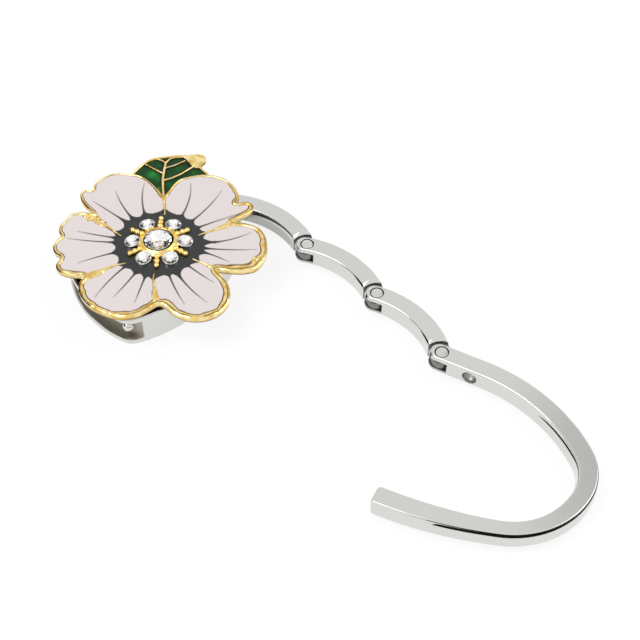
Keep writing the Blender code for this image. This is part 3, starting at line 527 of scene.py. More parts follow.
def round_end(place, heading, radius, steps=40):
    """Half circle round a bar's end, from its left side to its right."""
    turn = heading + np.pi / 2 - np.pi * np.arange(1, steps) / steps
    return place + radius * np.stack([np.cos(turn), np.sin(turn)], 1)


def square_end(place, heading, half, corner=1.0, steps=10):
    """A bar's flat end with two small round corners, from its left side to its right."""
    ahead = unit(heading)
    left = np.array([-ahead[1], ahead[0]])
    turn = np.linspace(np.pi / 2, 0, steps)[:, None]
    one = place - corner * ahead + (half - corner) * left
    two = place - corner * ahead - (half - corner) * left
    first = one + corner * (np.cos(turn) * ahead + np.sin(turn) * left)
    last = two + corner * (np.cos(turn[::-1]) * ahead - np.sin(turn[::-1]) * left)
    return np.vstack([first, last])


def bar_outline(path, tangent, width, end):
    """A bar's outline: both sides of its centreline, a round start and the given end."""
    left = np.stack([-np.sin(tangent), np.cos(tangent)], 1) * (np.asarray(width) / 2)[..., None]
    start = round_end(path[0], tangent[0] + np.pi, np.broadcast_to(width, tangent.shape)[0] / 2)
    outline = np.vstack([path + left, end, (path - left)[::-1], start])
    return outline[::-1]


def behind_pin(path, tangent):
    """The path begun a little before the pin, where the ears' round end has its middle."""
    back = path[0] - EAR_SETBACK * np.array([np.cos(tangent[0]), np.sin(tangent[0])])
    return np.vstack([back, path]), np.append(tangent[0], tangent)


def pin_hole(place, flare=0.08):
    """A hole's cutter, wider by a chamfer at both faces of the bar."""
    return turned(((PIN_HOLE + flare * 3, BAR_LOW - flare * 2), (PIN_HOLE, BAR_LOW + flare),
                   (PIN_HOLE, BAR_HIGH - flare), (PIN_HOLE + flare * 3, BAR_HIGH + flare * 2)),
                  72, place)


def fork_slot(place):
    """The gap between two ears: a disc round the pin, as deep as the tongue needs."""
    return turned(((SLOT_RADIUS, BAR_MID - SLOT_HALF), (SLOT_RADIUS, BAR_MID + SLOT_HALF)), 96, place)


def in_slot(points, pin):
    """True for points on the walls of the gap round a pin."""
    return (plan_reach(points, pin) < SLOT_RADIUS + 0.05) * (np.abs(points[:, 2] - BAR_MID) < 1.1)


def shoulders(place, flare=0.24):
    """Hollows above and below the tongue, round the next bar's ears, with a wide soft upper lip."""
    radius = SHOULDER_RADIUS
    over = turned(((radius, BAR_MID + TONGUE_HALF), (radius, BAR_HIGH - 0.62),
                   (radius + 0.05, BAR_HIGH - 0.48), (radius + 0.25, BAR_HIGH - 0.22),
                   (radius + 0.6, BAR_HIGH), (radius + 1.2, BAR_HIGH + 0.3)), 96, place)
    under = turned(((radius + 3 * flare, BAR_LOW - 2 * flare), (radius, BAR_LOW + flare),
                    (radius, BAR_MID - TONGUE_HALF)), 96, place)
    return [over, under]


def make_links():
    """The three links: arcs with round ends, forked at the start and tongued at the end."""
    for index, body in enumerate(("first_link", "second_link", "third_link")):
        path, tangent = link_path(index)
        pin = path[0]
        if index:
            path, tangent = behind_pin(path, tangent)
        end = round_end(path[-1], tangent[-1], BAR_WIDTH / 2)
        outline = bar_outline(path, tangent, np.full(len(tangent), BAR_WIDTH), end)
        name = "link_%d" % (index + 1)
        link = make_piece("plated_" + name, *plate(outline, BAR_PROFILE), body, "plated_metal",
                          BAR_PLATED, (name,))
        cutters = shoulders(path[-1]) + [pin_hole(pin), pin_hole(path[-1])]
        if index:
            cutters.append(fork_slot(pin))
        carve(link, cutters)
        place = points_of(link)
        level = place[:, 2]
        # Painted shade in the hollows round the next bar's ears and in the slot between the ears, and on
        # link 1's side under the flower
        beside_ears = plan_reach(place, path[-1]) < SHOULDER_RADIUS + 0.1
        shade = HINGE_SHADE * beside_ears * (level < BAR_HIGH - 0.5)
        if index:
            shade = np.maximum(shade, HINGE_SHADE * in_slot(place, pin))
        else:
            under_flower_shade = (1 - smoothstep(level, 4.4, 5.0)) * (1 - smoothstep(place[:, 0], 26, 33))
            shade = np.maximum(shade, COVERED_SHADE * under_flower_shade)
        give_paint(link, shade)


def hook_width(share):
    """The bar's width along the hook: it dips smoothly, as a bell, to the bend."""
    return BAR_WIDTH - BEND_NARROWING * np.exp(-((share - BEND_PLACE) / BEND_SPREAD) ** 2)


def side_tool(profile, place, heading, steps=64):
    """A turned solid laid on its side, its axis level along heading."""
    points, faces = turned(profile, steps)
    ahead = np.append(unit(heading), 0)
    side = np.array([-ahead[1], ahead[0], 0])
    up = np.array([0, 0, 1.0])
    laid = np.array([*place, BAR_MID]) + points[:, 2:] * ahead
    return laid - points[:, :1] * up + points[:, 1:2] * side, faces


def make_hook():
    """The hook: one long bar that narrows in its bend, with the catch's dimple near its fork."""
    path, tangent = hook_path()
    width = hook_width(np.arange(len(path)) / (len(path) - 1))
    pin = path[0]
    end = square_end(path[-1], tangent[-1], width[-1] / 2)
    # The side stops a little before the end, so that the corner's rounding has room
    path, tangent = behind_pin(path[:-9], tangent[:-9])
    outline = bar_outline(path, tangent, np.append(width[0], width[:-9]), end)
    hook = make_piece("plated_hook", *plate(outline, BAR_PROFILE), "hook_arm", "plated_metal",
                      BAR_PLATED, ("hook",))
    heading = math.radians(HOOK_HEADING)
    inside = heading - np.pi / 2
    ahead, into = unit(heading), -unit(inside)
    face = pin + DIMPLE_PLACE * ahead - BAR_WIDTH / 2 * into
    turn = np.linspace(0, np.pi / 2, 9)[1:]
    bowl = [(BOWL_RADIUS * math.sin(t), -BOWL_DEPTH * math.cos(t)) for t in turn]
    dimple = side_tool([(0.05, -BOWL_DEPTH)] + bowl + [(2.1, 0.5)], face, inside)
    carve(hook, [pin_hole(pin), fork_slot(pin), dimple])
    place = points_of(hook)
    deep = (place[:, :2] - face) @ into
    near = np.hypot((place[:, :2] - face) @ ahead, place[:, 2] - BAR_MID) < BOWL_RADIUS + 0.15
    # Painted shade in the dimple's bowl, whose deepest part stays bright, and in the slot between the
    # ears
    in_bowl = near * (deep < 1.8) * smoothstep(deep, 0.05, 0.4) * (1 - smoothstep(deep, 1.25, 1.6))
    give_paint(hook, np.maximum(BOWL_SHADE * in_bowl, HINGE_SHADE * in_slot(place, pin)))


def make_pins():
    """Riveted pins with softly domed ends, flush with the ears' faces."""
    bodies = ("base", "second_link", "third_link", "hook_arm")
    for index, (place, body) in enumerate(zip(PIN_PLACES, bodies)):
        low = 0.1 if index == 0 else BAR_LOW
        high = BODY_HEIGHT if index == 0 else BAR_HIGH
        end = ((0.02, 0), (0.9, 0.01), (1.14, 0.05), (PIN_RADIUS, 0.16))
        profile = [(radius, low + back) for radius, back in end]
        profile += [(radius, high - back) for radius, back in end[::-1]]
        points, faces = turned(profile, 72, place)
        make_piece("rivet_%d" % index, points, faces, body, "polished_steel", STEEL,
                   ("pin_%d" % index,))


def circle_reach(angle, centre, radius):
    """Distance from the origin to a circle round it: along + sqrt(along^2 - c^2 + r^2)."""
    along = centre[0] * np.cos(angle) + centre[1] * np.sin(angle)
    return along + np.sqrt(along ** 2 - centre[0] ** 2 - centre[1] ** 2 + radius ** 2)


def soft_least(reaches, sharpness):
    """Soft minimum of several reaches: the sum of their powers, taken back to one power."""
    reaches = np.asarray(reaches)
    near = reaches.min(0)
    return near * ((near / reaches) ** sharpness).sum(0) ** (-1 / sharpness)


def hull_reach(angle, flange):
    """Reach of the flange with its lug: the farthest of the flange and of lines to the lug."""
    lug = np.array(PIN_PLACES[0])
    turn = np.arange(96) * TURN / 96
    points = np.vstack([polar(angle, flange), lug + LUG_RADIUS * polar(turn, 1)])
    order = np.lexsort((points[:, 1], points[:, 0]))
    points = points[order]
    chains = []
    for run in (points, points[::-1]):
        chain = []
        for point in run:
            while len(chain) > 1:
                one, two = chain[-1] - chain[-2], point - chain[-2]
                if one[0] * two[1] - one[1] * two[0] > 0:
                    break
                chain.pop()
            chain.append(point)
        chains.append(chain[:-1])
    hull = np.array(chains[0] + chains[1])
    after = np.roll(hull, -1, 0)
    ray = np.stack([np.cos(angle), np.sin(angle)], 1)[:, None]
    side = (after - hull)[None]
    across = ray[..., 0] * side[..., 1] - ray[..., 1] * side[..., 0]
    across = np.where(np.abs(across) < 1e-9, 1e-9, across)
    reach = (hull[None, :, 0] * side[..., 1] - hull[None, :, 1] * side[..., 0]) / across
    share = (hull[None, :, 0] * ray[..., 1] - hull[None, :, 1] * ray[..., 0]) / across
    valid = (reach > 0) & (share >= -1e-6) & (share <= 1 + 1e-6)
    return np.where(valid, reach, 0).max(1)


def make_body(steps=1080):
    """The grooved body as a stack of rings: a rounded edge, the groove and a rounded edge."""
    angle = np.arange(steps) * TURN / steps
    flange = soft_least([circle_reach(angle, GROOVE_MIDDLE, FLANGE_RADIUS),
                         circle_reach(angle, FOOT_MIDDLE, FOOT_RADIUS), np.full(steps, 20.0)], 45)
    outer = hull_reach(angle, flange)
    core = soft_least([circle_reach(angle, GROOVE_MIDDLE, GROOVE_RADIUS),
                       circle_reach(angle, FOOT_MIDDLE, FOOT_RADIUS + 1),
                       circle_reach(angle, (-0.18, -21.7), 33.0)], 140)
    depth = np.maximum(outer - core, 0)
    lip, dark = np.minimum(0.2, depth), np.minimum(0.42, depth)
    half = len(BODY_PROFILE) // 2
    wall = [(0, 0.2), (lip * 0.3, 0.06), (lip, 0), (dark, 0), (depth, 0)]
    rings = [(outer - inset, z) for inset, z in BODY_PROFILE[:half]]
    rings += [(outer - inset, GROOVE_LOW - away) for inset, away in wall]
    rings += [(outer - inset, GROOVE_HIGH + away) for inset, away in wall[::-1]]
    rings += [(outer - inset, z) for inset, z in BODY_PROFILE[half:]]
    points, faces = ring_solid([np.column_stack([polar(angle, radius), np.full(steps, z)])
                                for radius, z in rings])
    body = make_piece("plated_body", points, faces, "base", "plated_metal", PLATED, ("base_body",))
    weld(body)
    carve(body, [turned(((1.6, -0.3), (1.42, 0.14), (1.42, 7.66), (1.6, 8.1)), 72, PIN_PLACES[0])])
    # Painted shade in the groove, full from a little inside its lip
    place = points_of(body)
    lower = interp_round(np.arctan2(place[:, 1], place[:, 0]), angle, outer)
    lower = lower - np.hypot(*place[:, :2].T)
    in_groove = (place[:, 2] > GROOVE_LOW - 0.1) & (place[:, 2] < GROOVE_HIGH + 0.1)
    give_paint(body, GROOVE_SHADE * smoothstep(lower, 0.22, 0.41) * in_groove)


def points_of(target):
    """A piece's points in millimetres, where they stand in its mesh."""
    flat = np.empty(len(target.data.vertices) * 3, np.float32)
    target.data.vertices.foreach_get("co", flat)
    return flat.reshape(-1, 3).astype(float) / MM


def give_paint(target, values):
    """Stores one value a point, which the finishes' second colour reads."""
    layer = target.data.attributes.new("paint", "FLOAT", "POINT")
    layer.data.foreach_set("value", np.asarray(values, np.float32))


def weld(target):
    """Merges points that lie together and drops the faces that this leaves without area."""
    form = bmesh.new()
    form.from_mesh(target.data)
    bmesh.ops.remove_doubles(form, verts=form.verts, dist=2e-7)
    bmesh.ops.dissolve_degenerate(form, edges=form.edges, dist=1e-7)
    form.to_mesh(target.data)
    form.free()


def make_catch_stud():
    """The catch: a bright ball head on its shank, standing out of the groove's floor."""
    mouth = np.array(GROOVE_MIDDLE) + GROOVE_RADIUS * unit(CATCH_WAY)
    turn = np.linspace(math.radians(144), 0.04, 24)
    head = [(BALL_RADIUS * math.sin(t), BALL_REACH + BALL_RADIUS * math.cos(t)) for t in turn]
    shank = [(0.02, -3.0), (0.7, -3.0), (0.7, -0.45)]
    points, faces = side_tool(shank + head, mouth, CATCH_WAY, 72)
    make_piece("ball_stud", points, faces, "base", "polished_steel", STEEL, ("catch_stud",))


def flower_outline(samples=2160):
    """Radii of the petals' outline at even angles: a smooth curve through the table."""
    table = np.array(OUTLINE_TABLE)
    angle = np.radians(np.concatenate([table[:, 0] - 360, table[:, 0], table[:, 0] + 360]))
    radius = np.tile(table[:, 1], 3) * FLOWER_RADIUS
    fine = []
    for step in range(1, len(angle) - 2):
        t = np.arange(12) / 12
        eased = catmull(*radius[step - 1:step + 3], t)
        fine.append(np.column_stack([angle[step] + (angle[step + 1] - angle[step]) * t, eased]))
    fine = np.vstack(fine)
    even = np.arange(samples) * TURN / samples
    start = math.radians(OUTLINE_TABLE[0][0])
    return even, np.interp(start + (even - start) % TURN, fine[:, 0], fine[:, 1])


EVEN_ANGLE, EVEN_RADIUS = flower_outline()


def outline_at(angle):
    """Radius of the petals' outline at any angle."""
    return interp_round(angle, EVEN_ANGLE, EVEN_RADIUS)


def edge_distance(points):
    """Least distance from each point to the petals' outline, taken as short straight sides."""
    edge = polar(EVEN_ANGLE[::2], EVEN_RADIUS[::2])
    side = np.roll(edge, -1, 0) - edge
    length = (side ** 2).sum(1)
    least = np.empty(len(points))
    for start in range(0, len(points), 4000):
        some = points[start:start + 4000, None] - edge
        share = np.clip((some * side).sum(-1) / length, 0, 1)
        least[start:start + 4000] = np.hypot(*(some - share[..., None] * side).transpose(2, 0, 1)).min(1)
    return least


def wander(angle, seeds):
    """An uneven but repeatable wave round the flower: a sum of sines of whole numbers of turns."""
    return sum(size * np.sin(count * angle + phase) for count, size, phase in seeds)


def rim_width(angle):
    """Width of the rim: thickest at the lower right, with one broad lump and a ragged inner edge."""
    lean = (1 + np.cos(angle - math.radians(-62))) / 2
    lump = 0.85 * np.exp(-(angle_off(angle, math.radians(-12)) / math.radians(9)) ** 2)
    ragged = wander(angle, ((13, 0.07, 0.3), (23, 0.07, 1.0), (37, 0.07, 2.2), (71, 0.025, 1.7)))
    return (0.62 + 0.85 * lean + lump) * (1 + ragged)


def dome(radius):
    """How much the flower rises over its edge: one less the square of the radius' share."""
    return DOME_RISE * (1 - (radius / FLOWER_RADIUS) ** 2)


def ridge_line(index, radius):
    """Angle of a ridge at a radius: straight between the table's points."""
    table = np.array(RIDGES[index % 6])
    return np.radians(np.interp(radius, table[:, 0], table[:, 1]))


def ridge_rise(angle, radius):
    """Height of the ridges between petals: a bell across each, wide and rough at its outer end."""
    rise = np.zeros(np.shape(angle))
    place = polar(angle, radius)
    rough = np.sin(4.3 * place[..., 0] + 1) * np.sin(3.9 * place[..., 1])
    rough = rough + 0.6 * np.sin(7.1 * place[..., 0])
    outer = smoothstep(radius, 11.8, 15.4)
    for index, (behind, ahead) in enumerate(RIDGE_SPREADS):
        off = angle_off(angle, ridge_line(index, radius))
        across = np.where(np.abs(off) < np.pi / 2, radius * np.sin(off), 99)
        spread = np.where(off > 0, ahead, behind) * outer
        width = 0.30 + 0.075 * np.clip(radius - 9.5, 0, 9) + spread * (1 + 0.25 * rough)
        fade = smoothstep(radius, 8.6, 11.0)
        bell = np.exp(-np.abs(across / width) ** 3) * (0.76 + 0.20 * fade) * smoothstep(radius, 7.6, 8.6)
        rise = np.maximum(rise, bell * (1 - 0.07 * np.minimum(spread, 1) * (1 + rough)))
    return rise


def gold_height(angle, radius, near):
    """Top of the casting: over its floor, the highest of the rim, the ridges and rough lumps.

    The rim is a round bead, the square root of 1 - s^2 with s the place across its width.
    """
    share = near / rim_width(angle)
    bead = np.sqrt(np.clip(1 - ((share - 0.45) / 0.62) ** 2, 0, 1))
    uneven = 1 + wander(angle, ((31, 0.04, 0.7), (57, 0.03, 1.9), (83, 0.02, 3.1)))
    rise = np.maximum(bead * RIM_RISE * uneven, ridge_rise(angle, radius))
    place = polar(angle, radius)
    for x, y, size in CAST_LUMPS:
        away = np.hypot(place[..., 0] - x, place[..., 1] - y) / size
        rough = 1 + 0.22 * np.sin(4.1 * place[..., 0] + x) * np.sin(3.7 * place[..., 1] + y)
        rise = np.maximum(rise, 0.95 * rough * np.exp(-away ** 4))
    return FLOOR_HEIGHT + rise + dome(radius)


def flower_painted_shade(angle, radius, height, near):
    """Brown painted shade on the casting's low places by the enamel, a broken painted dark reflection
    along the rim's outer slope, and in its place along the lower petals a fine one on the rim's crown.
    """
    across = near / rim_width(angle)
    sunk = (1 - smoothstep(height - FLOOR_HEIGHT - dome(radius), 0.66, 0.76)) * 0.6 * (across > 0.45)
    streak = np.exp(-((across - 0.24) / 0.14) ** 2)
    streak *= smoothstep(wander(angle, ((5, 0.5, 0.9), (9, 0.4, 2.0), (17, 0.3, 4.0))), -0.8, -0.1)
    lower = np.exp(-(angle_off(angle, math.radians(-58)) / math.radians(58)) ** 4)
    line = np.exp(-((across - 0.34) / 0.09) ** 2) * lower
    line *= smoothstep(wander(angle, ((7, 0.5, 0.2), (19, 0.5, 1.3), (31, 0.3, 2.2))), -1.0, -0.4)
    return np.maximum(np.maximum(sunk, 0.85 * streak * (1 - lower)), line)


def make_gold_flower(columns=880, inner=40, outer=62, start=4.3):
    """The cast flower: its top as a height over polar rings, then its side, back, boss and stud."""
    angle = np.arange(columns) * TURN / columns
    edge = outline_at(angle)
    share = np.concatenate([np.linspace(0, 0.62, inner, endpoint=False), np.linspace(0.62, 1, outer)])
    radius = start + (edge - start) * share[:, None]
    full = np.broadcast_to(angle, radius.shape)
    near = edge_distance(polar(full, radius).reshape(-1, 2)).reshape(radius.shape)
    height = gold_height(full, radius, near)
    top = np.dstack([radius * np.cos(angle), radius * np.sin(angle), height])
    place = polar(angle, edge)
    normals = outward(place)
    side = [np.column_stack([place - inset * normals, PLATE_UNDER + drop + dome(edge)])
            for inset, drop in ((0.0, 0.75), (0.03, 0.45), (0.12, 0.2), (0.3, 0.06), (0.5, 0.0))]
    back = [np.column_stack([polar(angle, reach), np.full(columns, z)])
            for reach, z in ((7.5, PLATE_UNDER + dome(7.5)), (7.5, 7.95), (7.4, 7.9), (3.0, 7.9),
                             (3.0, 5.1))]
    points, faces = ring_solid(np.concatenate([top, np.array(side), np.array(back)])[::-1])
    flower = make_piece("gold_flower", points, faces, "base", "gold_plating", GOLD,
                        ("flower_casting",))
    # Painted shade on the rim's outer wall, darkest low down, and over the flower's back
    side_painted_shade = (0.25, 0.7, 1.0, 1.0, 1.0)
    below = np.repeat(np.append(side_painted_shade, [0.6] * len(back))[:, None], columns, 1)
    painted_shade = flower_painted_shade(full, radius, height, near)
    give_paint(flower, np.concatenate([painted_shade, below])[::-1].ravel())
    return angle, radius, near


def vein_paint(points):
    """Dark paint: the scalloped centre and the veins that run out of it and fade to their tips."""
    angle = np.arctan2(points[:, 1], points[:, 0])
    radius = np.hypot(*points.T)
    dark = np.zeros(len(points))
    for (tip_angle, tip_radius), (root_angle, root_radius) in VEINS:
        t = np.linspace(0, 1, 60)
        turn = np.radians(root_angle + (tip_angle - root_angle) * t ** 1.25)
        line = polar(turn, root_radius + (tip_radius - root_radius) * t)
        away = np.full(len(points), 99.0)
        along = np.zeros(len(points))
        for share, place in zip(t, line):
            gap = np.hypot(*(points - place).T)
            closer = gap < away
            away = np.where(closer, gap, away)
            along = np.where(closer, share, along)
        # A vein spreads into the centre at its root, and pales over the last half of its length
        half = 0.11 + 0.07 * (1 - along) + 0.30 * np.exp(-along * 9)
        strength = 0.92 * (1 - 0.5 * smoothstep(along, 0.55, 1.0))
        dark = np.maximum(dark, strength * (1 - smoothstep(away, half * 0.6, half + 0.08)))
    edge = np.full(len(points), DARK_REACH)
    for _, (root_angle, root_radius) in VEINS:
        off = np.abs(angle_off(angle, math.radians(root_angle))) * radius
        edge = np.maximum(edge, DARK_REACH + (root_radius + 1.3 - DARK_REACH) * np.exp(-off / 0.55))
    for index in range(6):
        off = np.abs(angle_off(angle, ridge_line(index, radius))) * radius
        edge = np.maximum(edge, DARK_REACH + 1.7 * np.exp(-off / 0.9))
    centre = 1 - smoothstep(radius, edge - 0.10, edge + 0.10)
    return np.maximum(dark, centre)


def sheet_solid(grid, thickness):
    """A grid whose rows run outwards, with a copy a fixed depth below, closed round its edge."""
    rows, columns = grid.shape[:2]
    under = grid - np.array([0, 0, thickness])
    points = np.vstack([grid.reshape(-1, 3), under.reshape(-1, 3)])
    top = [face[::-1] for face in grid_faces(rows, columns, wrapped=False)]
    bottom = grid_faces(rows, columns, wrapped=False, first=rows * columns)
    index = np.arange(rows * columns).reshape(rows, columns)
    rim = np.concatenate([index[0], index[1:, -1], index[-1, -2::-1], index[-2:0:-1, 0]])
    after = np.roll(rim, -1)
    walls = np.stack([rim, after, after + rows * columns, rim + rows * columns], 1).tolist()
    return points, top + bottom + walls


def make_petals(angle, radius, near, columns=170, rows=110):
    """Six enamels: sheets from the dark ring to the rim and from ridge to ridge, with veins."""
    width = rim_width(angle)
    limit = np.array([np.interp(-w, -n[::1], r) for w, n, r in zip(width, near.T, radius.T)])
    for index, name in enumerate(PETAL_NAMES):
        across = np.linspace(0, 1, columns)
        share = np.linspace(0, 1, rows)[:, None]
        distance = np.full((rows, columns), DARK_EDGE + 6)
        for _ in range(5):
            first = ridge_line(index, distance) + PETAL_GAP
            last = ridge_line(index + 1, distance) + (TURN if index == 5 else 0) - PETAL_GAP
            turn = first + (last - first) * across
            reach = interp_round(turn, angle, limit)
            distance = DARK_EDGE + np.maximum(reach - DARK_EDGE, 0.3) * share
        level = ENAMEL_HEIGHT - ENAMEL_DROP + 0.10 * share ** 8
        grid = np.dstack([distance * np.cos(turn), distance * np.sin(turn), level + dome(distance)])
        points, faces = sheet_solid(grid, 0.5)
        petal = make_piece("petal_" + name, points, faces, "base", "petal_enamel", PALE,
                           ("petal_enamel_" + name,))
        paint = vein_paint(points[:rows * columns, :2])
        give_paint(petal, np.concatenate([paint, paint]))


def make_dark_centre(columns=360):
    """The slate ring round the setting, level with the petals' enamel."""
    angle = np.arange(columns) * TURN / columns
    under, level = ENAMEL_HEIGHT - 0.5, ENAMEL_HEIGHT - ENAMEL_DROP
    rings = ((4.4, under), (DARK_EDGE, under), (DARK_EDGE, level), (7.6, level), (6.0, level),
             (4.4, level))
    grid = np.array([np.column_stack([polar(angle, r), np.full(columns, z + dome(r))])
                     for r, z in rings])
    count = len(rings)
    faces = grid_faces(count, columns)
    across = np.arange(columns)
    after = (across + 1) % columns
    last = (count - 1) * columns
    faces += np.stack([last + across, last + after, after, across], 1).tolist()
    make_piece("slate_centre", grid.reshape(-1, 3), faces, "base", "centre_enamel", SLATE,
               ("centre_enamel",))


def path_distance(points, path):
    """Least distance from points to a chain of straight sides."""
    least = np.full(len(points), 99.0)
    path = np.asarray(path, float)
    for one, two in zip(path[:-1], path[1:]):
        side = two - one
        share = np.clip(((points - one) @ side) / (side @ side), 0, 1)
        least = np.minimum(least, np.hypot(*(points - one - share[:, None] * side).T))
    return least


def closed_curve(points, steps=12):
    """A smooth closed curve through points: Catmull-Rom segments."""
    points = np.asarray(points, float)
    a, b, c, d = (np.roll(points, -k, 0)[:, None] for k in (-1, 0, 1, 2))
    return catmull(a, b, c, d, (np.arange(steps) / steps)[None, :, None]).reshape(-1, 2)


def within(points, corners):
    """True for points inside a polygon: a ray from them crosses its sides an odd number of times."""
    corners = np.asarray(corners, float)
    crossed = np.zeros(len(points), bool)
    for (ax, ay), (bx, by) in zip(corners, np.roll(corners, -1, 0)):
        spans = (points[:, 1] < ay) != (points[:, 1] < by)
        at = ax + (points[:, 1] - ay) * (bx - ax) / (by - ay if by != ay else 1)
        crossed ^= spans & (points[:, 0] < at)
    return crossed


def shrunk(outline, share):
    """Copies of an outline drawn in towards the leaf's middle by shares, the last one tiny."""
    share = np.append(share[:-1], 0.004)
    middle = np.array(LEAF_MIDDLE)
    return middle + (outline - middle) * share[:, None, None]


def make_gold_leaf(outline, normals):
    """The leaf's metal: round beads along its outline and veins, and the tab at its tip.

    A bead's height is the square root of 1 - d^2, with d the distance over its half width.
    """
    plan = shrunk(outline, np.concatenate([np.linspace(1, 0.8, 24, endpoint=False),
                                           np.linspace(0.8, 0.0, 66)]))
    flat = plan.reshape(-1, 2)
    edge = path_distance(flat, np.vstack([outline, outline[:1]]))
    vein = np.min([path_distance(flat, path) for path in LEAF_VEINS], 0) / 0.33
    thin = path_distance(flat, LEAF_THIN_VEIN) / 0.24
    stem = path_distance(flat, LEAF_VEINS[0]) / 0.42
    bead = np.sqrt(np.clip(1 - ((edge - 0.26) / 0.40) ** 2, 0, 1))
    line = np.sqrt(np.clip(1 - np.minimum(np.minimum(vein, thin), stem) ** 2, 0, 1))
    away = path_distance(flat, LEAF_TAB + LEAF_TAB[:1])
    tab = smoothstep(np.where(within(flat, LEAF_TAB), away, -away), -0.2, 0.1)
    rise = np.maximum(np.maximum(bead * 0.64, line * 0.66), tab * 0.62)
    top = np.dstack([plan, (LEAF_FLOOR + rise).reshape(plan.shape[:2])])
    low = np.array([np.column_stack([outline - inset * normals, np.full(len(outline), z)])
                    for inset, z in ((0.3, 8.4), (0.1, 8.5), (0.0, 8.8))])
    points, faces = ring_solid(np.concatenate([low, top]))
    leaf = make_piece("gold_leaf", points, faces, "base", "gold_plating", GOLD)
    # Painted shade on the gold that lies below the enamel, along the cells' edges
    give_paint(leaf, 1 - smoothstep(points[:, 2], LEAF_ENAMEL, LEAF_ENAMEL + 0.11))


def make_green_leaf(outline):
    """The leaf's enamel: a sheet that sinks away from the veins, darker near them, with painted
    highlights.
    """
    plan = shrunk(outline, np.linspace(1, 0, 60))
    flat = plan.reshape(-1, 2)
    lines = LEAF_VEINS + (LEAF_THIN_VEIN, LEAF_TAB + LEAF_TAB[:1])
    vein = np.min([path_distance(flat, path) for path in lines], 0)
    height = (LEAF_ENAMEL - 0.10 * smoothstep(vein, 0.2, 1.1)).reshape(plan.shape[:2])
    base = np.dstack([plan[:1], np.full((1, plan.shape[1]), 9.0)])
    points, faces = ring_solid(np.concatenate([base, np.dstack([plan, height])]))
    leaf = make_piece("green_leaf", points, faces, "base", "leaf_enamel", GREEN,
                      tuple("leaf_enamel_%d" % index for index in range(1, 6)))
    # Painted highlights, weaker beside the veins
    glow = np.zeros(len(points))
    for x, y, size, strength in LEAF_PAINTED_HIGHLIGHTS:
        glow += strength * np.exp(-(plan_reach(points, (x, y)) / size) ** 2)
    tone = 0.16 * smoothstep(np.append(np.zeros(plan.shape[1]), vein), 0.42, 0.85)
    give_paint(leaf, np.clip(glow * (0.15 + tone / 0.19) + tone, 0, 1))


def make_leaf():
    """The leaf: rings that shrink from its outline to its middle, once in gold and once in green."""
    outline = closed_curve(LEAF_OUTLINE)[::-1]
    normals = outward(outline)
    make_gold_leaf(outline, normals)
    make_green_leaf(outline - 0.35 * normals)


def joined(solids):
    """Several closed solids in one list of points and faces."""
    points, faces, first = [], [], 0
    for some, sides in solids:
        points.append(np.asarray(some))
        faces += [[corner + first for corner in side] for side in sides]
        first += len(some)
    return np.vstack(points), faces


def ball(place, radius, steps=20):
    """A sphere turned from a half circle."""
    turn = np.linspace(np.pi - 0.02, 0.02, steps // 2 + 1)
    profile = np.stack([radius * np.sin(turn), place[2] + radius * np.cos(turn)], 1)
    return turned(profile, steps, place[:2])


def bezel(place, inner, wall, low, high, floor):
    """A cup: outer wall, rounded lip, inner wall and a floor for the stone."""
    lip = wall / 2
    turn = np.linspace(0, np.pi, 9)
    crown = [(inner + lip + lip * math.cos(t), high - lip + lip * math.sin(t)) for t in turn]
    return turned([(0.02, low), (inner + wall * 1.5, low), (inner + wall * 1.1, low + 0.35)] + crown
                  + [(inner - 0.05, floor + 0.25), (inner * 0.5, floor), (0.02, floor)], 72, place)


def make_setting():
    """The gold setting: a wide sloping ring round the middle stone, and rows of beads."""
    base = STONE_BASE
    slope = ((4.34, 0.40), (4.28, 0.56), (4.1, 0.68), (3.8, 0.82), (3.55, 0.98), (3.42, 1.10),
             (3.30, 1.15), (3.20, 1.11), (3.13, 0.98), (3.10, 0.75))
    ring = [(0.02, 9.9), (4.1, 9.9), (4.26, 10.3)] + [(radius, base + rise) for radius, rise in slope]
    solids = [turned(ring + [(1.2, base - 0.25), (0.02, base - 0.45)], 144)]
    for index in range(6):
        turn = TURN * index / 6 + TURN / 12
        for reach, radius, height, steps in BEADS:
            solids.append(ball((*(reach * unit(turn)), base + height), radius, steps))
        stand = ((0.02, 10.0), (1.3, 10.0), (1.15, base - 0.28), (0.02, base - 0.26))
        solids.append(turned(stand, 40, SIDE_PLACE * unit(turn - TURN / 12)))
    points, faces = joined(solids)
    setting = make_piece("gold_setting", points, faces, "base", "gold_plating", SETTING_GOLD,
                         ("stone_setting",))
    # Painted shade in the middle stone's seat
    give_paint(setting, np.hypot(*points[:, :2].T) < 3.12)
    cups = []
    for index in range(6):
        place = SIDE_PLACE * unit(TURN * index / 6)
        points, faces = bezel(place, SIDE_STONE, 0.14, base - 0.32, base + 0.78, base - 0.12)
        cups.append((leaned(points, place, base), faces))
    points, faces = joined(cups)
    make_piece("side_cups", points, faces, "base", "polished_steel", STEEL)


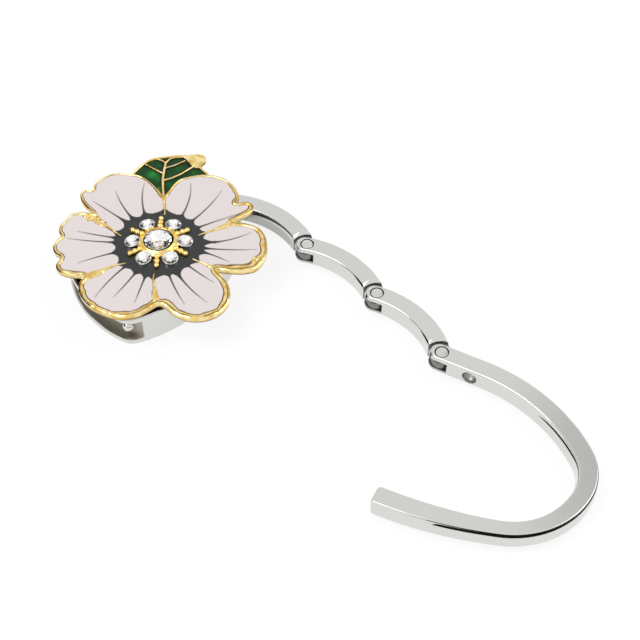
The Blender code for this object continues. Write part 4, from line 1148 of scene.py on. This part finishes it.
def brilliant(radius, girdle, crown, pavilion, table=0.58):
    """A round brilliant: table, star, kite and girdle facets above, two rows below.

    Its rings stand at shares of the radius, of the crown's height and of the pavilion's depth.
    """
    eighth = np.arange(8) * TURN / 8
    sixteenth = np.arange(16) * TURN / 16
    band = radius * 0.03

    def ring(angles, reach, height):
        return np.column_stack([polar(angles, reach), np.full(len(angles), height)])

    top = ring(eighth + TURN / 16, radius * table, girdle + crown)
    mid = ring(eighth, radius * 0.79, girdle + crown * 0.62)
    high = ring(sixteenth, radius, girdle + band)
    low = ring(sixteenth, radius, girdle - band)
    deep = ring(eighth + TURN / 16, radius * 0.28, girdle - band - pavilion * 0.74)
    point = np.array([[0, 0, girdle - band - pavilion]])
    points = np.vstack([top, mid, high, low, deep, point])
    t, m, h, b, d, c = 0, 8, 16, 32, 48, 56
    crown_faces = [list(range(8))]
    back_faces = []
    for k in range(8):
        n = (k + 1) % 8
        crown_faces.append([t + k, m + k, t + (k - 1) % 8])
        crown_faces.append([t + k, m + k, h + (2 * k + 1) % 16, m + n])
        crown_faces.append([m + k, h + 2 * k, h + (2 * k + 1) % 16])
        crown_faces.append([m + n, h + (2 * k + 1) % 16, h + (2 * k + 2) % 16])
        back_faces.append([b + 2 * k, b + (2 * k + 1) % 16, d + k][::-1])
        back_faces.append([b + (2 * k + 1) % 16, b + (2 * k + 2) % 16, d + k][::-1])
        back_faces.append([b + (2 * k + 2) % 16, d + n, d + k])
        back_faces.append([c, d + k, d + n][::-1])
    for k in range(16):
        n = (k + 1) % 16
        crown_faces.append([h + k, b + k, b + n, h + n])
    return points, crown_faces, back_faces


def leaned(points, place, pivot):
    """Points turned outwards about a level line through place, by the side stones' lean."""
    out = np.asarray(place) / np.hypot(*place)
    along = (points[:, :2] - place) @ out
    up = points[:, 2] - pivot
    turned_along = along * math.cos(STONE_LEAN) + up * math.sin(STONE_LEAN)
    turned_up = up * math.cos(STONE_LEAN) - along * math.sin(STONE_LEAN)
    flat = points[:, :2] + (turned_along - along)[:, None] * out
    return np.column_stack([flat, pivot + turned_up])


def make_stone(name, node, radius, place, girdle, turn, crown=0.30, pivot=None):
    """A cut stone: clear in front, silvered behind, leaned outwards where it has a pivot height."""
    points, front, back = brilliant(radius, girdle, radius * crown, radius * 0.42)
    spin = np.array([[math.cos(turn), math.sin(turn)], [-math.sin(turn), math.cos(turn)]])
    points[:, :2] = points[:, :2] @ spin + np.asarray(place)
    if pivot:
        points = leaned(points, place, pivot)
    stone = make_piece(name, points, front + back, "base", "crystal", CRYSTAL, (node,), flat=True)
    stone.data.materials.append(FOIL)
    index = np.zeros(len(front) + len(back), int)
    index[len(front):] = 1
    stone.data.polygons.foreach_set("material_index", index)
    form = bmesh.new()
    form.from_mesh(stone.data)
    bmesh.ops.recalc_face_normals(form, faces=form.faces)
    form.to_mesh(stone.data)
    form.free()


def make_stones():
    """The large middle stone and the ring of six small ones."""
    make_stone("middle_stone", "centre_crystal", CENTRE_STONE - 0.17, (-0.11, 0.11),
               STONE_BASE + 1.02, 0.2, 0.25)
    for index in range(6):
        place = SIDE_PLACE * unit(TURN * index / 6)
        make_stone("side_stone_%d" % (index + 1), "side_crystal_%d" % (index + 1),
                   SIDE_STONE - 0.02, place, STONE_BASE + 0.76, 0.3 + index, pivot=STONE_BASE)


def seen_rays(tree):
    """One for rays that show the studio itself: to the camera, in reflections and through glass."""
    ray = add_node(tree, "LightPath").outputs
    reflected = worked(tree, "MAXIMUM", ray["Is Camera Ray"], ray["Is Glossy Ray"])
    return worked(tree, "MAXIMUM", reflected, ray["Is Transmission Ray"])


def square(width, height):
    """Corners and face of a level sheet round the origin."""
    w, h = width / 2, height / 2
    return [(-w, -h, 0), (w, -h, 0), (w, h, 0), (-w, h, 0)], [(0, 1, 2, 3)]


def make_floor():
    """A pale floor, white to the camera and to reflections, that keeps a soft shadow."""
    floor = mesh_object("floor", *square(6, 6), scale=1)
    floor.location.z = -0.0001
    made, tree, shader = new_finish("pale floor", Base_Color=(0.9, 0.9, 0.9), Roughness=0.6)
    glow = add_node(tree, "Emission", Strength=1.05)
    mix = add_node(tree, "MixShader", Fac=worked(tree, "MULTIPLY", seen_rays(tree), 0.8))
    tree.links.new(shader.outputs["BSDF"], mix.inputs[1])
    tree.links.new(glow.outputs["Emission"], mix.inputs[2])
    feed(tree, tree.nodes["Material Output"], Surface=mix.outputs["Shader"])
    floor.data.materials.append(made)


def stage_glow(card, name, level):
    """Gives a studio card an even tone and keeps it out of all but reflections."""
    made, tree, shader = new_finish(name + " card")
    tree.nodes.remove(shader)
    glow = add_node(tree, "Emission", Color=(level, level, level))
    feed(tree, tree.nodes["Material Output"], Surface=glow.outputs["Emission"])
    card.data.materials.append(made)
    card.visible_camera = False
    card.visible_diffuse = False
    card.visible_shadow = False
    card.visible_transmission = False


def make_card(name, centre, size, turn, level):
    """A flat studio card that only reflections show."""
    card = mesh_object(name, *square(*size), scale=1)
    card.location = centre
    card.rotation_euler = [math.radians(angle) for angle in turn]
    stage_glow(card, name, level)


def make_strip(name, path, tangent, side, near, far, level, rise=0.0):
    """A dark strip beside a bar, which only reflections show.

    Its path is pushed sideways by near to far, less towards both ends, and rises as a square.
    """
    left = side * np.stack([-np.sin(tangent), np.cos(tangent)], 1)
    push = np.linspace(near, far, 5)[:, None, None]
    taper = np.sin(np.linspace(0, np.pi, len(path)))[:, None] ** 0.5
    plan = path + left * (near + (push - near) * taper)
    share = np.broadcast_to((push[..., 0] - near) / (far - near), plan.shape[:2])
    points = np.dstack([plan, 0.1 + rise * share ** 2]).reshape(-1, 3)
    strip = mesh_object(name, points, grid_faces(5, len(path), wrapped=False))
    stage_glow(strip, name, level)


def make_strips():
    """Dark strips beside the bars where the photograph's plating has black lines."""
    path, tangent = hook_path()
    for name, begin, end, side, near, far in (("outer_strip", 0.30, 0.87, 1, 6.4, 40),
                                              ("inner_strip", 0.24, 0.56, -1, 5.7, 15)):
        some = slice(int(begin * len(path)), int(end * len(path)), 4)
        make_strip(name, path[some], tangent[some], side, near, far, STRIP_LEVEL)
    for index, (begin, near, far, rise) in enumerate(LINK_STRIPS):
        path, tangent = link_path(index)
        some = slice(begin, 66)
        make_strip("link_strip_%d" % (index + 1), path[some], tangent[some], -1, near, far,
                   STRIP_LEVEL, rise)


def make_light(name, place, aim, size, energy):
    """A square soft lamp aimed at a point."""
    lamp = bpy.data.lights.new(name, "AREA")
    lamp.shape = "SQUARE"
    lamp.size = size
    lamp.energy = energy
    made = bpy.data.objects.new(name, lamp)
    made.location = place
    way = np.array(aim) - np.array(place)
    level = math.hypot(way[0], way[1])
    made.rotation_euler = (math.atan2(level, -way[2]), 0, math.atan2(way[1], way[0]) - math.pi / 2)
    bpy.context.scene.collection.objects.link(made)


def make_world():
    """A bright plain studio: white to the camera and darker as light.

    In reflections it is softly uneven, and has one darker patch where the bars' tops look.
    """
    world = bpy.data.worlds.new("studio")
    bpy.context.scene.world = world
    world.use_nodes = True
    tree = world.node_tree
    level = add_node(tree, "MapRange", Value=seen_rays(tree), To_Min=0.62, To_Max=1.0)
    way = add_node(tree, "TexCoord").outputs["Generated"]
    cloud = add_node(tree, "TexNoise", Vector=way, Scale=2.6, Detail=1).outputs["Fac"]
    dip = add_node(tree, "MapRange", Value=cloud, From_Min=0.35, From_Max=0.65, To_Min=0.13,
                   To_Max=0.0)
    toward = tree.nodes.new("ShaderNodeVectorMath")
    toward.operation = "DOT_PRODUCT"
    for socket, term in zip(toward.inputs, (way, PATCH_WAY)):
        connect(tree, socket, term)
    patch = add_node(tree, "MapRange", Value=toward.outputs["Value"], From_Min=0.9936,
                     From_Max=0.9996, To_Max=0.28)
    patch.interpolation_type = "SMOOTHSTEP"
    both = worked(tree, "ADD", dip.outputs["Result"], patch.outputs["Result"])
    glossy = add_node(tree, "LightPath").outputs["Is Glossy Ray"]
    less = worked(tree, "MULTIPLY", both, glossy)
    feed(tree, tree.nodes["Background"], Color=(1, 1, 1),
         Strength=worked(tree, "SUBTRACT", level.outputs["Result"], less))


def make_camera():
    """The photograph's view: 50 degrees down on the hanger's plane, along +Y."""
    lens = bpy.data.cameras.new("camera")
    lens.sensor_fit = "HORIZONTAL"
    lens.sensor_width = 36
    lens.lens = 78.75
    lens.clip_start = 0.01
    camera = bpy.data.objects.new("camera", lens)
    camera.location = (0.0336, -0.2000, 0.2242)
    camera.rotation_euler = (math.radians(40), 0, 0)
    bpy.context.scene.collection.objects.link(camera)
    bpy.context.scene.camera = camera


make_camera()
make_world()
make_floor()
make_light("key", (-0.25, -0.15, 0.55), LAMP_AIM, 0.35, 1.5)
make_light("fill", (0.45, 0.05, 0.40), LAMP_AIM, 0.4, 0.7)
make_card("front_dark", (0.104, -0.100, 0.008), (0.132, 0.016), (90, 0, 0), 0.01)
make_card("left_dark", (-0.065, 0.000, 0.018), (0.09, 0.036), (90, 0, 90), 0.01)
make_card("low_dark", (0.10, -0.45, 0.03), (0.5, 0.06), (90, 0, 0), 0.02)
make_strips()
make_card("far_dark", (0.03, 0.50, 0.03), (0.9, 0.06), (90, 0, 0), 0.05)
bpy.context.scene.view_settings.view_transform = "Standard"

make_body()
make_catch_stud()
make_links()
make_hook()
make_pins()
grid_angle, grid_radius, grid_near = make_gold_flower()
make_petals(grid_angle, grid_radius, grid_near)
make_dark_centre()
make_leaf()
make_setting()
make_stones()
